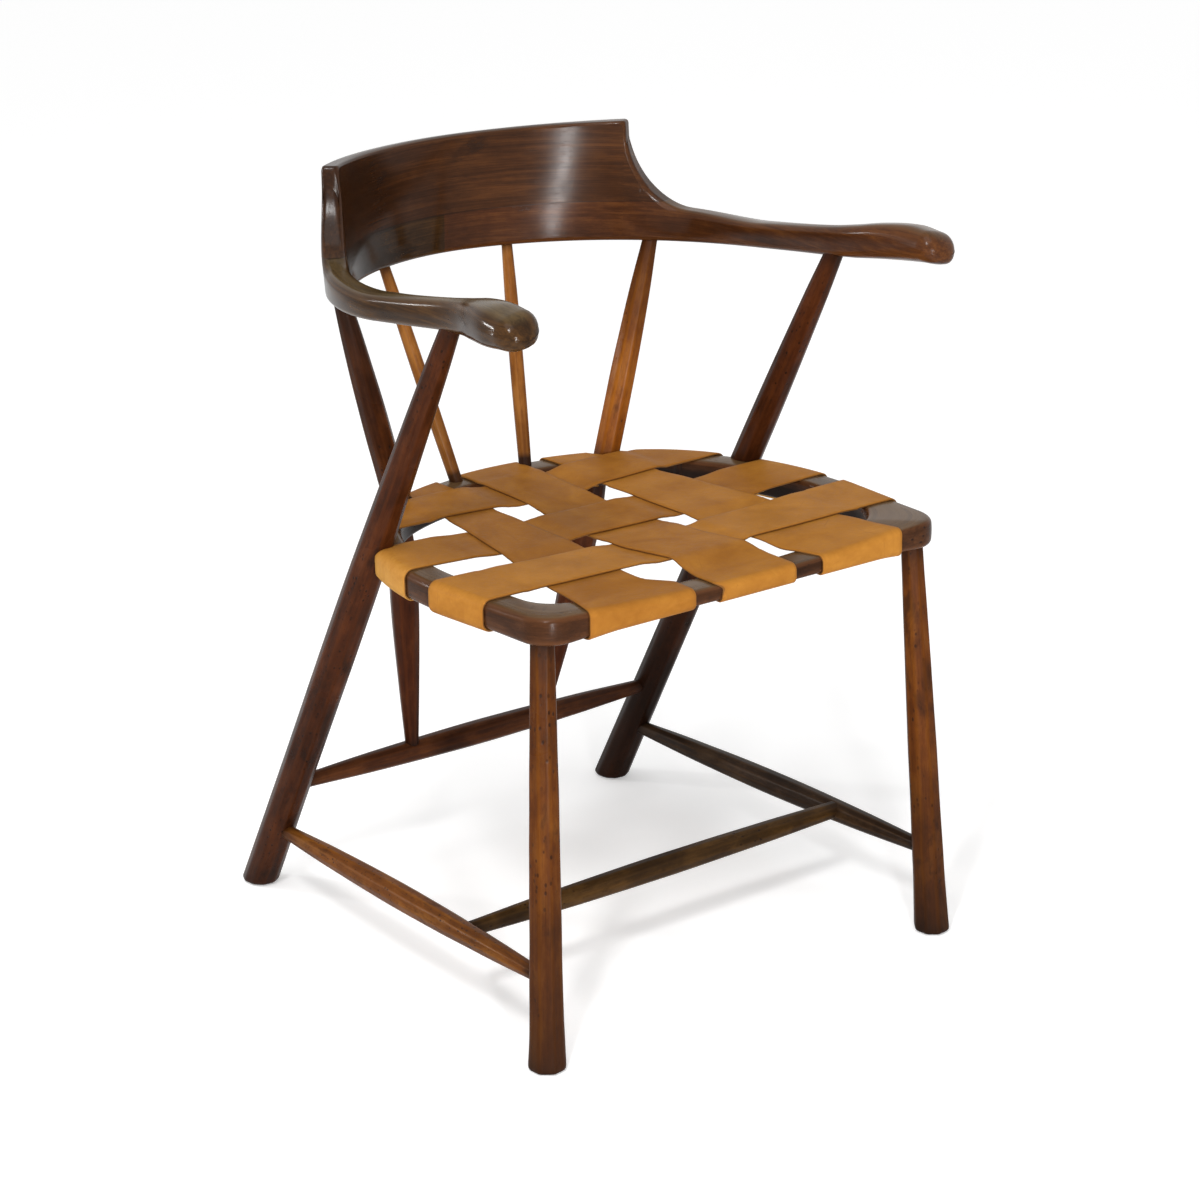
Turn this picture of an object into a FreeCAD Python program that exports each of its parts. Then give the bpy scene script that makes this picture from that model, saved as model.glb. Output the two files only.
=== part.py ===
import FreeCAD, Part
import math
import os
from FreeCAD import Placement, Rotation, Vector

# Captain's chair: a seat of woven leather straps in a wooden ring of rails, on two upright
# front legs and two long legs that run in one piece from the floor up to the arms. A sawn and
# carved bow makes both arms and the back, with a curved crest standing on it.
# Millimetres, +Z up, the front of the chair towards -Y, the sitter's left hand towards +X.
# The origin is on the floor, in the middle of the chair's footprint.

os.makedirs("parts", exist_ok=True)
doc = FreeCAD.newDocument("CaptainsChair")
sheet = doc.addObject("Spreadsheet::Sheet", "Sizes")

SIZES = {
    # Room round a stick in its hole, past its end, and the plain length before its swelling.
    "joint_gap": 0.1,
    "socket_room": 0.5,
    "shoulder": 5.0,
    "hole_lead": 10.0,
    # Front legs.
    "front_foot_x": 229.4,
    "front_foot_y": -244.5,
    "front_top_x": 211.6,
    "front_top_y": -217.1,
    "front_leg_top_radius": 11.0,
    "front_leg_high_radius": 12.2,
    "front_leg_mid_radius": 14.0,
    "front_leg_low_radius": 15.6,
    "front_foot_radius": 16.8,
    "front_leg_tenon": 18.0,
    # Long legs, from the rear feet to the arms.
    "rear_foot_x": 219.5,
    "rear_foot_y": 244.1,
    "rear_leg_top_radius": 9.0,
    "rear_leg_high_radius": 11.0,
    "rear_leg_upper_radius": 13.9,
    "rear_leg_mid_radius": 16.4,
    "rear_leg_low_radius": 16.6,
    "rear_foot_radius": 17.2,
    "rear_leg_tenon": 16.0,
    "foot_chamfer": 1.5,
    # Stretchers.
    "side_stretcher_front_z": 82.3,
    "side_stretcher_rear_z": 69.0,
    "rear_stretcher_z": 123.5,
    "cross_stretcher_y": -113.0,
    "stretcher_end_radius": 7.0,
    "stretcher_low_radius": 10.2,
    "stretcher_mid_radius": 12.2,
    "cross_end_radius": 6.5,
    "cross_low_radius": 9.6,
    "cross_mid_radius": 11.2,
    "stretcher_tenon": 11.0,
    "swell_fall": 1.5,
    "cross_tenon": 5.0,
    # Ring of the seat, in its own plane, which falls a little towards the back. Its outline is
    # a straight front, round corners, sides that widen towards the back, and three arcs.
    "seat_front_y": -240.7,
    "seat_top_z": 413.5,
    "seat_fall_angle": 1.49,
    "rail_height": 25.5,
    "rail_width": 32.0,
    "front_rail_width": 33.0,
    "seat_half_width": 240.0,
    "seat_widest_depth": 156.0,
    "side_curve_radius": 310.0,
    "side_curve_turn": 28.0,
    "shoulder_radius": 160.0,
    "shoulder_turn": 32.0,
    "side_taper_angle": 5.0,
    "corner_radius": 29.0,
    "opening_corner_radius": 38.0,
    "rail_rounding": 7.0,
    "front_rounding": 4.0,
    "inner_rounding": 5.0,
    "front_dish": 8.5,
    "front_dish_half_width": 190.0,
    "front_joint_depth": 115.0,
    "back_joint_turn": 38.0,
    "dowel_radius": 4.0,
    "dowel_length": 36.0,
    "peg_radius": 5.0,
    "peg_stand": 1.5,
    "peg_depth": 12.0,
    # Leather straps: sheet, room to what it lies on or wraps, sag in the middle, room round a
    # leg, the length in which a strap changes level, and the margin that it keeps at a rail.
    "leather": 2.4,
    "leather_gap": 0.2,
    "wrap_gap": 0.5,
    "strap_sag": 7.0,
    "strap_leg_room": 0.6,
    "strap_ramp": 24.0,
    "strap_margin": 2.0,
    "tack_head_radius": 4.0,
    "tack_head_height": 1.2,
    "tack_pin_radius": 1.1,
    "tack_pin_length": 10.0,
    "tack_inset": 16.0,
    "tack_edge": 8.0,
    "tack_share_front": 0.25,
    "tack_share_middle": 0.5,
    "tack_share_rear": 0.75,
    # Plan of the bow's inner edge: three arcs from the middle of the back, then straight.
    "bow_back_y": 222.3,
    "bow_back_radius": 160.0,
    "bow_back_turn": 11.5,
    "bow_main_radius": 212.0,
    "bow_main_turn": 68.0,
    "bow_arm_radius": 490.0,
    "bow_back_width": 20.0,
    "bow_side_width": 25.5,
    "bow_side_run": 160.0,
    # Underside of the bow, rising towards the front, and the joint under the crest.
    "bow_under_y": 210.3,
    "bow_under_z": 605.0,
    "bow_under_slope": 0.05,
    "bow_under_curve": 0.00014,
    "glue_y": 239.3,
    "glue_z": 642.0,
    "glue_rise_angle": 3.49,
    "bow_bottom_rounding": 5.0,
    # Crest board and the sweeps that its ends run out in.
    "crest_top_y": 230.3,
    "crest_top_z": 716.5,
    "crest_top_rise_angle": 4.9,
    "crest_thickness": 13.0,
    "crest_end_swell": 3.0,
    "crest_end_lean": 13.0,
    "crest_end_run": 180.0,
    "crest_rounding": 3.0,
    "sweep_length": 62.0,
    "sweep_height": 78.0,
    "sweep_bottom_z": 643.0,
    "crest_end_height": 1.0,
    # Sticks of the back.
    "post_foot_x": 126.5,
    "post_foot_y": 128.4,
    "post_top_run": 203.0,
    "post_foot_radius": 11.0,
    "post_low_radius": 12.4,
    "post_high_radius": 10.0,
    "post_top_radius": 7.4,
    "post_tenon": 11.0,
    "spindle_foot_x": 45.5,
    "spindle_foot_y": 149.7,
    "spindle_top_run": 71.5,
    "spindle_end_radius": 5.0,
    "spindle_low_radius": 6.2,
    "spindle_mid_radius": 6.6,
    "spindle_tenon": 15.0,
    "bow_tenon": 18.0,
    "strut_top_x": 118.0,
    "strut_top_y": 133.0,
    "strut_foot_x": 79.5,
    "strut_top_radius": 10.0,
    "strut_low_radius": 10.6,
    "strut_mid_radius": 13.6,
    "strut_foot_radius": 6.8,
    "strut_tenon": 10.0,
    "strut_foot_tenon": 7.0,
}

# Carved stations of an arm, from behind the long leg to the tip: the place along Y, the inner
# side's X, the width, the underside's height, how much lower its outer side hangs, the height
# of the top, how much lower its outer side lies, and the rounding of the edges.
ARM_COLUMNS = ("y", "inner_x", "width", "bottom_z", "bottom_droop", "top_z", "top_droop", "rounding")
ARM_STATIONS = {
    "elbow": (5.3, 204.6, 26.5, 621.2, 0.0, 645.5, 0.5, 7.0),
    "forearm": (-42.7, 206.0, 23.0, 626.8, 0.0, 652.5, 0.5, 7.5),
    "waist": (-94.7, 205.2, 21.5, 633.4, 0.5, 661.0, 0.5, 7.5),
    "throat": (-124.7, 205.6, 25.0, 637.5, 2.0, 667.5, 1.5, 8.5),
    "swell": (-154.7, 207.5, 33.5, 643.0, 5.5, 674.5, 3.0, 10.0),
    "knuckle": (-184.7, 210.0, 40.5, 648.0, 9.5, 679.5, 6.0, 12.5),
    "nose": (-207.7, 211.5, 41.0, 650.5, 9.5, 680.0, 9.5, 13.0),
}
SIZES["arm_tip_y"] = -228.7
SIZES["arm_tip_drop"] = 5.0
for station, row in ARM_STATIONS.items():
    for column, number in zip(ARM_COLUMNS, row):
        SIZES["{}_{}".format(station, column)] = number

# Straps. Those that run from side to side have the depths of their front and rear edges on the
# right and on the left; those that run to the back have the places of their two edges in front
# and behind. The last word says which way the strap passes at each crossing, in order.
SIDE_STRAPS = {
    "strap_side_front": (76.0, 149.0, 70.0, 146.0, "over under over"),
    "strap_side_middle": (188.0, 256.0, 174.0, 249.0, "under over under"),
    "strap_side_rear": (296.0, 357.0, 292.0, 355.0, "high under high"),
}
LONG_STRAPS = {
    "strap_long_right": (-180.0, -69.0, -106.0, -64.0, "under over rest"),
    "strap_long_middle": (-46.0, 42.0, -34.5, 34.5, "over under over"),
    "strap_long_left": (65.0, 176.0, 62.0, 106.0, "under over rest"),
}
EDGES = ("edge_a", "edge_b", "edge_c", "edge_d")
for straps in (SIDE_STRAPS, LONG_STRAPS):
    for strap, row in straps.items():
        for edge, number in zip(EDGES, row):
            SIZES["{}_{}".format(strap, edge)] = number

for row, (alias, number) in enumerate(SIZES.items(), start=1):
    cell = "B{}".format(row)
    sheet.set("A{}".format(row), alias)
    sheet.set(cell, str(number))
    sheet.setAlias(cell, alias)
doc.recompute()


VALUES = {alias: float(sheet.get(alias)) for alias in SIZES}


def size(alias):
    return VALUES[alias]


UP = Vector(0, 0, 1)
SIDES = {"right": -1, "left": 1}
WITH_GAP = " + Sizes.joint_gap"
parts = {}

# How finely the curved forms are cut into flats.
LEG_SIDES = 14
STICK_SIDES = 12
SPINDLE_SIDES = 10
TACK_SIDES = 6
FRONT_STEPS = 4
CORNER_STEPS = 8
SIDE_STEPS = 5
BACK_STEPS = 4
BOW_STEPS = 12
SWEEP_STEPS = 8
ARM_STEPS = 14
TIP_STEPS = 4
STRAP_STEP = 18.0
RAMP_STEPS = 3
FRONT_RISE_STEPS = 3
SIDE_ACROSS = 5
LONG_ACROSS = 4

# Where a section near the sweep's upper edge stands, how much wood the bow's blank has above
# the joint under the crest, and how far round the arm's tip is drawn together.
SWEEP_EDGE = 0.8
GLUE_EXCESS = 4.0
TIP_TURN = 80.0
FLAT_ENOUGH = 0.000001

# Swellings of the sticks: shares of the length, with the radius at each.
FRONT_LEG = (
    (0.0, "front_foot_radius"),
    (0.16, "front_leg_low_radius"),
    (0.55, "front_leg_mid_radius"),
    (0.85, "front_leg_high_radius"),
    (1.0, "front_leg_top_radius"),
)
REAR_LEG = (
    (0.0, "rear_foot_radius"),
    (0.25, "rear_leg_low_radius"),
    (0.55, "rear_leg_mid_radius"),
    (0.75, "rear_leg_upper_radius"),
    (0.93, "rear_leg_high_radius"),
    (1.0, "rear_leg_top_radius"),
)
STRETCHER = (
    (0.0, "stretcher_end_radius"),
    (0.2, "stretcher_low_radius"),
    (0.5, "stretcher_mid_radius"),
    (0.8, "stretcher_low_radius"),
    (1.0, "stretcher_end_radius"),
)
CROSS = (
    (0.0, "cross_end_radius"),
    (0.2, "cross_low_radius"),
    (0.5, "cross_mid_radius"),
    (0.8, "cross_low_radius"),
    (1.0, "cross_end_radius"),
)
STRUT = (
    (0.0, "strut_foot_radius"),
    (0.3, "strut_low_radius"),
    (0.6, "strut_mid_radius"),
    (0.85, "strut_mid_radius"),
    (1.0, "strut_top_radius"),
)
POST = (
    (0.0, "post_foot_radius"),
    (0.15, "post_low_radius"),
    (0.45, "post_low_radius"),
    (0.8, "post_high_radius"),
    (1.0, "post_top_radius"),
)
SPINDLE = (
    (0.0, "spindle_end_radius"),
    (0.25, "spindle_low_radius"),
    (0.5, "spindle_mid_radius"),
    (0.75, "spindle_low_radius"),
    (1.0, "spindle_end_radius"),
)


def keep(obj, label):
    """Name a finished sub-part; its file gets the same name."""
    obj.Label = label
    parts[label] = obj
    return obj


# Places

def along(start, end):
    """The placement whose origin is start and whose Z axis points at end."""
    return Placement(start, Rotation(UP, end - start))


def on_line(start, end, share):
    return start + (end - start) * share


def at_height(start, end, height):
    return on_line(start, end, (height - start.z) / (end.z - start.z))


def shifted(point, other, distance):
    """The point moved by a distance towards another point."""
    return point + (other - point).normalize() * distance


def tilted(y, z, angle):
    return Placement(Vector(0, y, z), Rotation(Vector(1, 0, 0), -angle))


seat_frame = tilted(size("seat_front_y"), size("seat_top_z"), size("seat_fall_angle"))
glue_frame = tilted(size("glue_y"), size("glue_z"), size("glue_rise_angle"))
crest_frame = tilted(size("crest_top_y"), size("crest_top_z"), size("crest_top_rise_angle"))


def meet(start, end, frame, height):
    """Where the line through two points crosses a frame's plane at a height in that frame."""
    inverse = frame.inverse()
    low = inverse.multVec(start).z
    high = inverse.multVec(end).z
    return on_line(start, end, (height - low) / (high - low))


# Solids

def block(name, low, high, frame=Placement()):
    box = doc.addObject("Part::Box", name)
    box.Length = high.x - low.x
    box.Width = high.y - low.y
    box.Height = high.z - low.z
    box.Placement = frame.multiply(Placement(low, Rotation()))
    return box


def cylinder(name, radius_formula, start, end):
    pin = doc.addObject("Part::Cylinder", name)
    pin.setExpression("Radius", radius_formula)
    pin.Height = (end - start).Length
    pin.Placement = along(start, end)
    return pin


def compound(name, members):
    group = doc.addObject("Part::Compound", name)
    group.Links = members
    return group


def fuse(name, members):
    result = doc.addObject("Part::MultiFuse", name)
    result.Shapes = members
    return result


def cut(name, base, tools):
    """The base with the tools taken out one after another."""
    for number, tool in enumerate(tools):
        last = number == len(tools) - 1
        result = doc.addObject("Part::Cut", name if last else "{}_step{}".format(name, number))
        result.Base = base
        result.Tool = tool
        base = result
    return base


def lofted(name, sections, frame=Placement()):
    """A solid in flats through sections of points that match one another, its ends flat."""
    faces = [Part.Face(Part.makePolygon(points + points[:1])) for points in (sections[0], sections[-1])]
    for before, after in zip(sections, sections[1:]):
        for number in range(len(before)):
            following = (number + 1) % len(before)
            corners = [before[number], before[following], after[following], after[number]]
            normal = (corners[1] - corners[0]).cross(corners[2] - corners[0]).normalize()
            twist = abs(normal.dot(corners[3] - corners[0]))
            if twist < FLAT_ENOUGH:
                faces.append(Part.Face(Part.makePolygon(corners + corners[:1])))
            else:
                first, second, third, fourth = corners
                faces.append(Part.Face(Part.makePolygon([first, second, third, first])))
                faces.append(Part.Face(Part.makePolygon([first, third, fourth, first])))
    shell = Part.makeShell(faces)
    shell.sewShape()
    form = doc.addObject("Part::Feature", name)
    form.Shape = Part.makeSolid(shell)
    form.Placement = frame
    return form


def eased(corners, radii):
    """Points of an outline whose corners are rounded off in two flats each."""
    points = []
    count = len(corners)
    for number, radius in enumerate(radii):
        corner = corners[number]
        before = (corners[number - 1] - corner).normalize()
        after = (corners[(number + 1) % count] - corner).normalize()
        half = before.getAngle(after) / 2
        reach = radius / math.tan(half)
        inward = (before + after).normalize()
        points.append(corner + before * reach)
        points.append(corner + inward * (radius / math.sin(half) - radius))
        points.append(corner + after * reach)
    return points


# Sticks, shaved in long flats, whose plain ends stand in their holes

def stick(name, start, end, stations, sides, foot_plain=0.0, top_plain=0.0, extra=""):
    """A stick from start to end that goes on, as thick as there, past either.

    Each station is a share of the length and the name of the radius there.
    """
    length = (end - start).Length
    places = [(length * share, alias) for share, alias in stations]
    if foot_plain > 0:
        places.insert(0, (-foot_plain, stations[0][1]))
    if top_plain > 0:
        places.append((length + top_plain, stations[-1][1]))
    rings = []
    for number, (height, alias) in enumerate(places):
        ring = doc.addObject("Part::RegularPolygon", "{}_ring{}".format(name, number))
        ring.Polygon = sides
        ring.setExpression("Circumradius", "Sizes." + alias + extra)
        ring.Placement = Placement(UP * height, Rotation())
        rings.append(ring)
    whole = doc.addObject("Part::Loft", name)
    whole.Sections = rings
    whole.Solid = True
    whole.Ruled = True
    whole.Linearize = True
    whole.Placement = along(start, end)
    return whole


def jointed_stick(name, line, stations, sides, foot_tenon, top_tenon):
    """A stick between two holes, given by the mouths of the holes and the tenons' lengths."""
    foot_mouth, top_mouth = line
    shoulder = size("shoulder")
    start = shifted(foot_mouth, top_mouth, shoulder)
    end = shifted(top_mouth, foot_mouth, shoulder)
    return stick(name, start, end, stations, sides, shoulder + foot_tenon, shoulder + top_tenon)


def prism(name, radius_formula, sides, start, end):
    form = doc.addObject("Part::Prism", name)
    form.Polygon = sides
    form.setExpression("Circumradius", radius_formula)
    form.Height = (end - start).Length
    form.Placement = along(start, end)
    return form


def foot_hole(name, radius_alias, sides, line, depth):
    """The hole for a stick's foot: it goes in past the mouth where the stick's line starts."""
    foot, top = line
    bottom = shifted(foot, top, -depth - size("socket_room"))
    formula = "Sizes." + radius_alias + WITH_GAP
    return prism(name, formula, sides, bottom, shifted(foot, top, size("hole_lead")))


def top_hole(name, radius_alias, sides, line, depth):
    """The hole for a stick's top: it goes in past the mouth where the stick's line ends."""
    foot, top = line
    bottom = shifted(top, foot, -depth - size("socket_room"))
    formula = "Sizes." + radius_alias + WITH_GAP
    return prism(name, formula, sides, shifted(top, foot, size("hole_lead")), bottom)


# Plan of the seat ring, in its own plane: X across, Y the depth behind the front face

def outward(angle):
    """Direction in the plan at an angle from straight back, turning to the left."""
    turn = math.radians(angle)
    return Vector(math.sin(turn), math.cos(turn), 0)


def ring_arcs():
    """Centre, radius and outward angles at both ends of the left half's arcs, front to back."""
    side_radius = size("side_curve_radius")
    shoulder_radius = size("shoulder_radius")
    start = 90.0 + size("side_taper_angle")
    first = 90.0 - size("side_curve_turn")
    second = first - size("shoulder_turn")
    side_centre = Vector(size("seat_half_width") - side_radius, size("seat_widest_depth"), 0)
    shoulder_centre = side_centre + outward(first) * (side_radius - shoulder_radius)
    meeting = shoulder_centre + outward(second) * shoulder_radius
    back_radius = meeting.x / math.sin(math.radians(second))
    back_centre = meeting - outward(second) * back_radius
    return (
        (side_centre, side_radius, start, first),
        (shoulder_centre, shoulder_radius, first, second),
        (back_centre, back_radius, second, 0.0),
    )


ARCS = ring_arcs()
SEAT_DEPTH = ARCS[2][0].y + ARCS[2][1]


def outline_x(depth, grow):
    """X of the left side of the ring's outline, moved outwards by grow, at a depth."""
    for centre, radius, start, end in ARCS[:2]:
        reach = radius + grow
        first = centre + outward(start) * reach
        last = centre + outward(end) * reach
        if depth < first.y:
            return first.x + (depth - first.y) * math.tan(math.radians(size("side_taper_angle")))
        if depth <= last.y:
            return centre.x + math.sqrt(reach ** 2 - (depth - centre.y) ** 2)
    centre, radius, start, end = ARCS[2]
    return math.sqrt(max((radius + grow) ** 2 - (depth - centre.y) ** 2, 0.0))


def outline_y(x, grow):
    """Depth of the rear of the ring's outline, moved outwards by grow, at an X."""
    x = abs(x)
    for centre, radius, start, end in reversed(ARCS):
        reach = radius + grow
        if x <= centre.x + math.sin(math.radians(start)) * reach:
            return centre.y + math.sqrt(max(reach ** 2 - (x - centre.x) ** 2, 0.0))
    return ARCS[0][0].y


def opening_side(depth):
    return outline_x(depth, -size("rail_width"))


def opening_rear(x):
    return outline_y(x, -size("rail_width"))


def side_line(depth, inset):
    """A point on the straight part of the left side."""
    taper = math.radians(size("side_taper_angle"))
    centre, radius, start, end = ARCS[0]
    first = centre + outward(start) * (radius - inset)
    return Vector(first.x + (depth - first.y) * math.tan(taper), depth, 0)


def corner_centre(side_inset, front_inset, radius):
    """Centre of the round front corner of the outline drawn in by the two insets."""
    taper = math.radians(size("side_taper_angle"))
    depth = front_inset + radius
    return Vector(side_line(depth, side_inset).x - radius / math.cos(taper), depth, 0)


def front_stations():
    """Pairs of outer and inner points of the front rail's left half, and its corner's share."""
    width = size("rail_width")
    front_width = size("front_rail_width")
    outer_radius = size("corner_radius")
    inner_radius = size("opening_corner_radius")
    outer_centre = corner_centre(0.0, 0.0, outer_radius)
    inner_centre = corner_centre(width, front_width, inner_radius)
    side_angle = 90.0 + size("side_taper_angle")
    turn = 180.0 - side_angle
    inner_end = inner_centre + outward(side_angle) * inner_radius
    outer_end = inner_end + outward(side_angle) * width
    outer_low = outer_centre + outward(side_angle) * outer_radius
    stations = []
    for number in range(FRONT_STEPS):
        x = inner_centre.x * number / FRONT_STEPS
        stations.append((Vector(x, 0, 0), Vector(x, front_width, 0), 0.0))
    for number in range(CORNER_STEPS + 1):
        share = number / CORNER_STEPS
        inner = inner_centre + outward(180.0 - turn * share) * inner_radius
        if share < 0.25:
            x = inner_centre.x + (outer_centre.x - inner_centre.x) * share / 0.25
            outer = Vector(x, 0, 0)
        elif share <= 0.75:
            outer = outer_centre + outward(180.0 - turn * (share - 0.25) / 0.5) * outer_radius
        else:
            outer = on_line(outer_low, outer_end, (share - 0.75) / 0.25)
        stations.append((outer, inner, share))
    depth = size("front_joint_depth")
    joint = side_line(depth, 0.0)
    stations.append((joint, joint - outward(side_angle) * width, 1.0))
    return stations


def arc_stations(arc, first, last, steps):
    """Pairs of outer and inner points along one of the arcs, the first angle left out."""
    centre, radius, start, end = arc
    stations = []
    for number in range(1, steps + 1):
        direction = outward(first + (last - first) * number / steps)
        outer = centre + direction * radius
        stations.append((outer, outer - direction * size("rail_width"), 1.0))
    return stations


def joint_angle():
    return 90.0 - size("back_joint_turn")


def side_stations():
    centre, radius, start, end = ARCS[0]
    first = centre + outward(start) * radius
    stations = [front_stations()[-1]]
    stations.append((first, first - outward(start) * size("rail_width"), 1.0))
    stations += arc_stations(ARCS[0], start, end, SIDE_STEPS)
    return stations + arc_stations(ARCS[1], end, joint_angle(), 2)


def back_stations():
    centre, radius, start, end = ARCS[1]
    stations = [side_stations()[-1]]
    stations += arc_stations(ARCS[1], joint_angle(), end, 3)
    return stations + arc_stations(ARCS[2], end, 0.0, BACK_STEPS)


def dish(x):
    """How far the front rail's top is hollowed at a distance from the middle."""
    share = min(abs(x) / size("front_dish_half_width"), 1.0)
    return size("front_dish") * (1 - share ** 2)


def rail_section(outer, inner, share, side):
    """Cross-section of a rail; share says how far round the front corner it stands."""
    hollow = dish((outer.x + inner.x) / 2) if share < 1.0 else 0.0
    low = UP * -size("rail_height")
    high = UP * -hollow
    front = size("front_rounding")
    rounding = front + (size("rail_rounding") - front) * share
    inside = size("inner_rounding")
    corners = [outer + high, outer + low, inner + low, inner + high]
    points = eased(corners, (rounding, rounding, inside, inside))
    return [Vector(side * point.x, point.y, point.z) for point in points]


def rail_blank(name, halves):
    """A rail through stations given for each side, in the order in which they follow."""
    sections = []
    for side, stations in halves:
        for outer, inner, share in stations:
            sections.append(rail_section(outer, inner, share, side))
    return lofted(name, sections, seat_frame)


# Plan and heights of the bow

def bow_arcs():
    """Radius and turn of each arc of the inner edge, the last one's to straight ahead."""
    back = math.radians(size("bow_back_turn"))
    main = math.radians(size("bow_main_turn"))
    arcs = [(size("bow_back_radius"), back), (size("bow_main_radius"), main)]
    arcs.append((size("bow_arm_radius"), math.pi / 2 - back - main))
    return arcs


def bow_inner(run):
    """Point and heading of the inner edge after a run along it from the middle of the back."""
    point = Vector(0, size("bow_back_y"), 0)
    heading = 0.0
    for radius, turn in bow_arcs():
        part = min(run / radius, turn)
        centre = point - Vector(math.sin(heading), math.cos(heading), 0) * radius
        heading += part
        point = centre + Vector(math.sin(heading), math.cos(heading), 0) * radius
        run -= part * radius
        if run <= 0:
            break
    return point, heading


def bow_width(run):
    share = min(run / size("bow_side_run"), 1.0)
    back = size("bow_back_width")
    return back + (size("bow_side_width") - back) * share ** 2


def bow_under(y):
    """Height of the bow's underside behind the arms."""
    forward = size("bow_under_y") - y
    slope = size("bow_under_slope") * forward
    return size("bow_under_z") + slope + size("bow_under_curve") * forward ** 2


def frame_height(frame, y):
    """Height of a tilted frame's plane above a place along Y."""
    normal = frame.Rotation.multVec(UP)
    return frame.Base.z - (y - frame.Base.y) * normal.y / normal.z


def wall_point(run, height, outer):
    """A point of the back's inner or outer face, which the bow and the crest share."""
    base, heading = bow_inner(run)
    low = bow_under(base.y)
    top = frame_height(crest_frame, base.y)
    share = (height - low) / (top - low)
    lean = size("crest_end_lean") * (run / size("crest_end_run")) ** 2
    low_offset = bow_width(run) if outer else 0.0
    swell = size("crest_end_swell") * (run / size("crest_end_run")) ** 2
    top_offset = lean + (size("crest_thickness") + swell if outer else 0.0)
    offset = low_offset + (top_offset - low_offset) * share
    return Vector(base.x, base.y, height) + Vector(math.sin(heading), math.cos(heading), 0) * offset


def bow_middle(run, height):
    return on_line(wall_point(run, height, False), wall_point(run, height, True), 0.5)


def sweep_height(run):
    """Height of the hollow sweep that runs from the crest's end down to the arm."""
    start = size("crest_end_run")
    length = size("sweep_length")
    if run < start:
        return size("sweep_bottom_z") + 2 * size("sweep_height")
    share = max((start + length - run) / length, 0.0)
    return size("sweep_bottom_z") + size("sweep_height") * (1 - math.sqrt(1 - share ** 2))


def bow_runs():
    """Places of the sections along the bow: even steps, then round the sweep in even turns."""
    start = size("crest_end_run")
    length = size("sweep_length")
    runs = [start * number / BOW_STEPS for number in range(BOW_STEPS)]
    runs.append(start - SWEEP_EDGE)
    for number in range(1, SWEEP_STEPS + 1):
        turn = math.pi / 2 * number / SWEEP_STEPS
        runs.append(start + length * (1 - math.cos(turn)))
    return runs


def wall_corners(run, side, low, top):
    corners = []
    for height, outer in ((low, False), (low, True), (top, True), (top, False)):
        point = wall_point(run, height, outer)
        corners.append(Vector(side * point.x, point.y, point.z))
    return corners


def bow_section(run, side):
    """A section of the bow, a little higher than the joint under the crest."""
    base, heading = bow_inner(run)
    top = min(frame_height(glue_frame, base.y) + GLUE_EXCESS, sweep_height(run))
    corners = wall_corners(run, side, bow_under(base.y), top)
    bottom = size("bow_bottom_rounding")
    share = max(0.0, (run - size("crest_end_run")) / size("sweep_length"))
    upper = GLUE_EXCESS / 2 + (size("elbow_rounding") - GLUE_EXCESS / 2) * share
    return eased(corners, (bottom, bottom, upper, upper))


def arm_value(column, y):
    """A measure of the arm at a place along Y, carried smoothly through the carved stations."""
    places = [size(station + "_y") for station in ARM_STATIONS]
    values = [size("{}_{}".format(station, column)) for station in ARM_STATIONS]
    count = len(places)
    slopes = []
    for number in range(count):
        before = max(number - 1, 0)
        after = min(number + 1, count - 1)
        slopes.append((values[after] - values[before]) / (places[after] - places[before]))
    for number in range(count - 1):
        if y >= places[number + 1] or number == count - 2:
            step = places[number + 1] - places[number]
            t = max(0.0, min(1.0, (y - places[number]) / step))
            start = (1 + 2 * t) * (1 - t) ** 2 * values[number]
            start += t * (1 - t) ** 2 * step * slopes[number]
            end = t * t * (3 - 2 * t) * values[number + 1]
            end += t * t * (t - 1) * step * slopes[number + 1]
            return start + end
    return values[-1]


def arm_section(side, y, place, shrink, drop):
    """A carved section with the arm's measures at y, put at a place and drawn together."""
    inner = arm_value("inner_x", y)
    outer = inner + arm_value("width", y)
    bottom = arm_value("bottom_z", y)
    top = arm_value("top_z", y)
    corners = [
        Vector(side * inner, place, bottom),
        Vector(side * outer, place, bottom - arm_value("bottom_droop", y)),
        Vector(side * outer, place, top - arm_value("top_droop", y)),
        Vector(side * inner, place, top),
    ]
    middle = (corners[0] + corners[1] + corners[2] + corners[3]) * 0.25
    corners = [on_line(middle, corner, shrink) - UP * drop for corner in corners]
    radius = arm_value("rounding", y) * shrink
    return eased(corners, (radius, radius, radius, radius))


def arm_blank(name, side):
    """Half of the bow with its arm, from the middle of the back to the rounded tip."""
    sections = [bow_section(run, side) for run in bow_runs()]
    elbow = size("elbow_y")
    nose = size("nose_y")
    for number in range(ARM_STEPS + 1):
        y = elbow + (nose - elbow) * number / ARM_STEPS
        sections.append(arm_section(side, y, y, 1.0, 0.0))
    for number in range(1, TIP_STEPS + 1):
        turn = math.radians(TIP_TURN) * number / TIP_STEPS
        reach = (nose - size("arm_tip_y")) * math.sin(turn) / math.sin(math.radians(TIP_TURN))
        drop = size("arm_tip_drop") * math.sin(turn) ** 2
        sections.append(arm_section(side, nose, nose - reach, math.cos(turn), drop))
    return lofted(name, sections)


def crest_section(run, side):
    base, heading = bow_inner(run)
    low = frame_height(glue_frame, base.y)
    top = min(frame_height(crest_frame, base.y), sweep_height(run))
    corners = wall_corners(run, side, low, top)
    rounding = min(size("crest_rounding"), (top - low) * 0.4)
    points = eased(corners, (rounding, rounding, rounding, rounding))
    return [corners[0], corners[1]] + points[6:]


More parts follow.
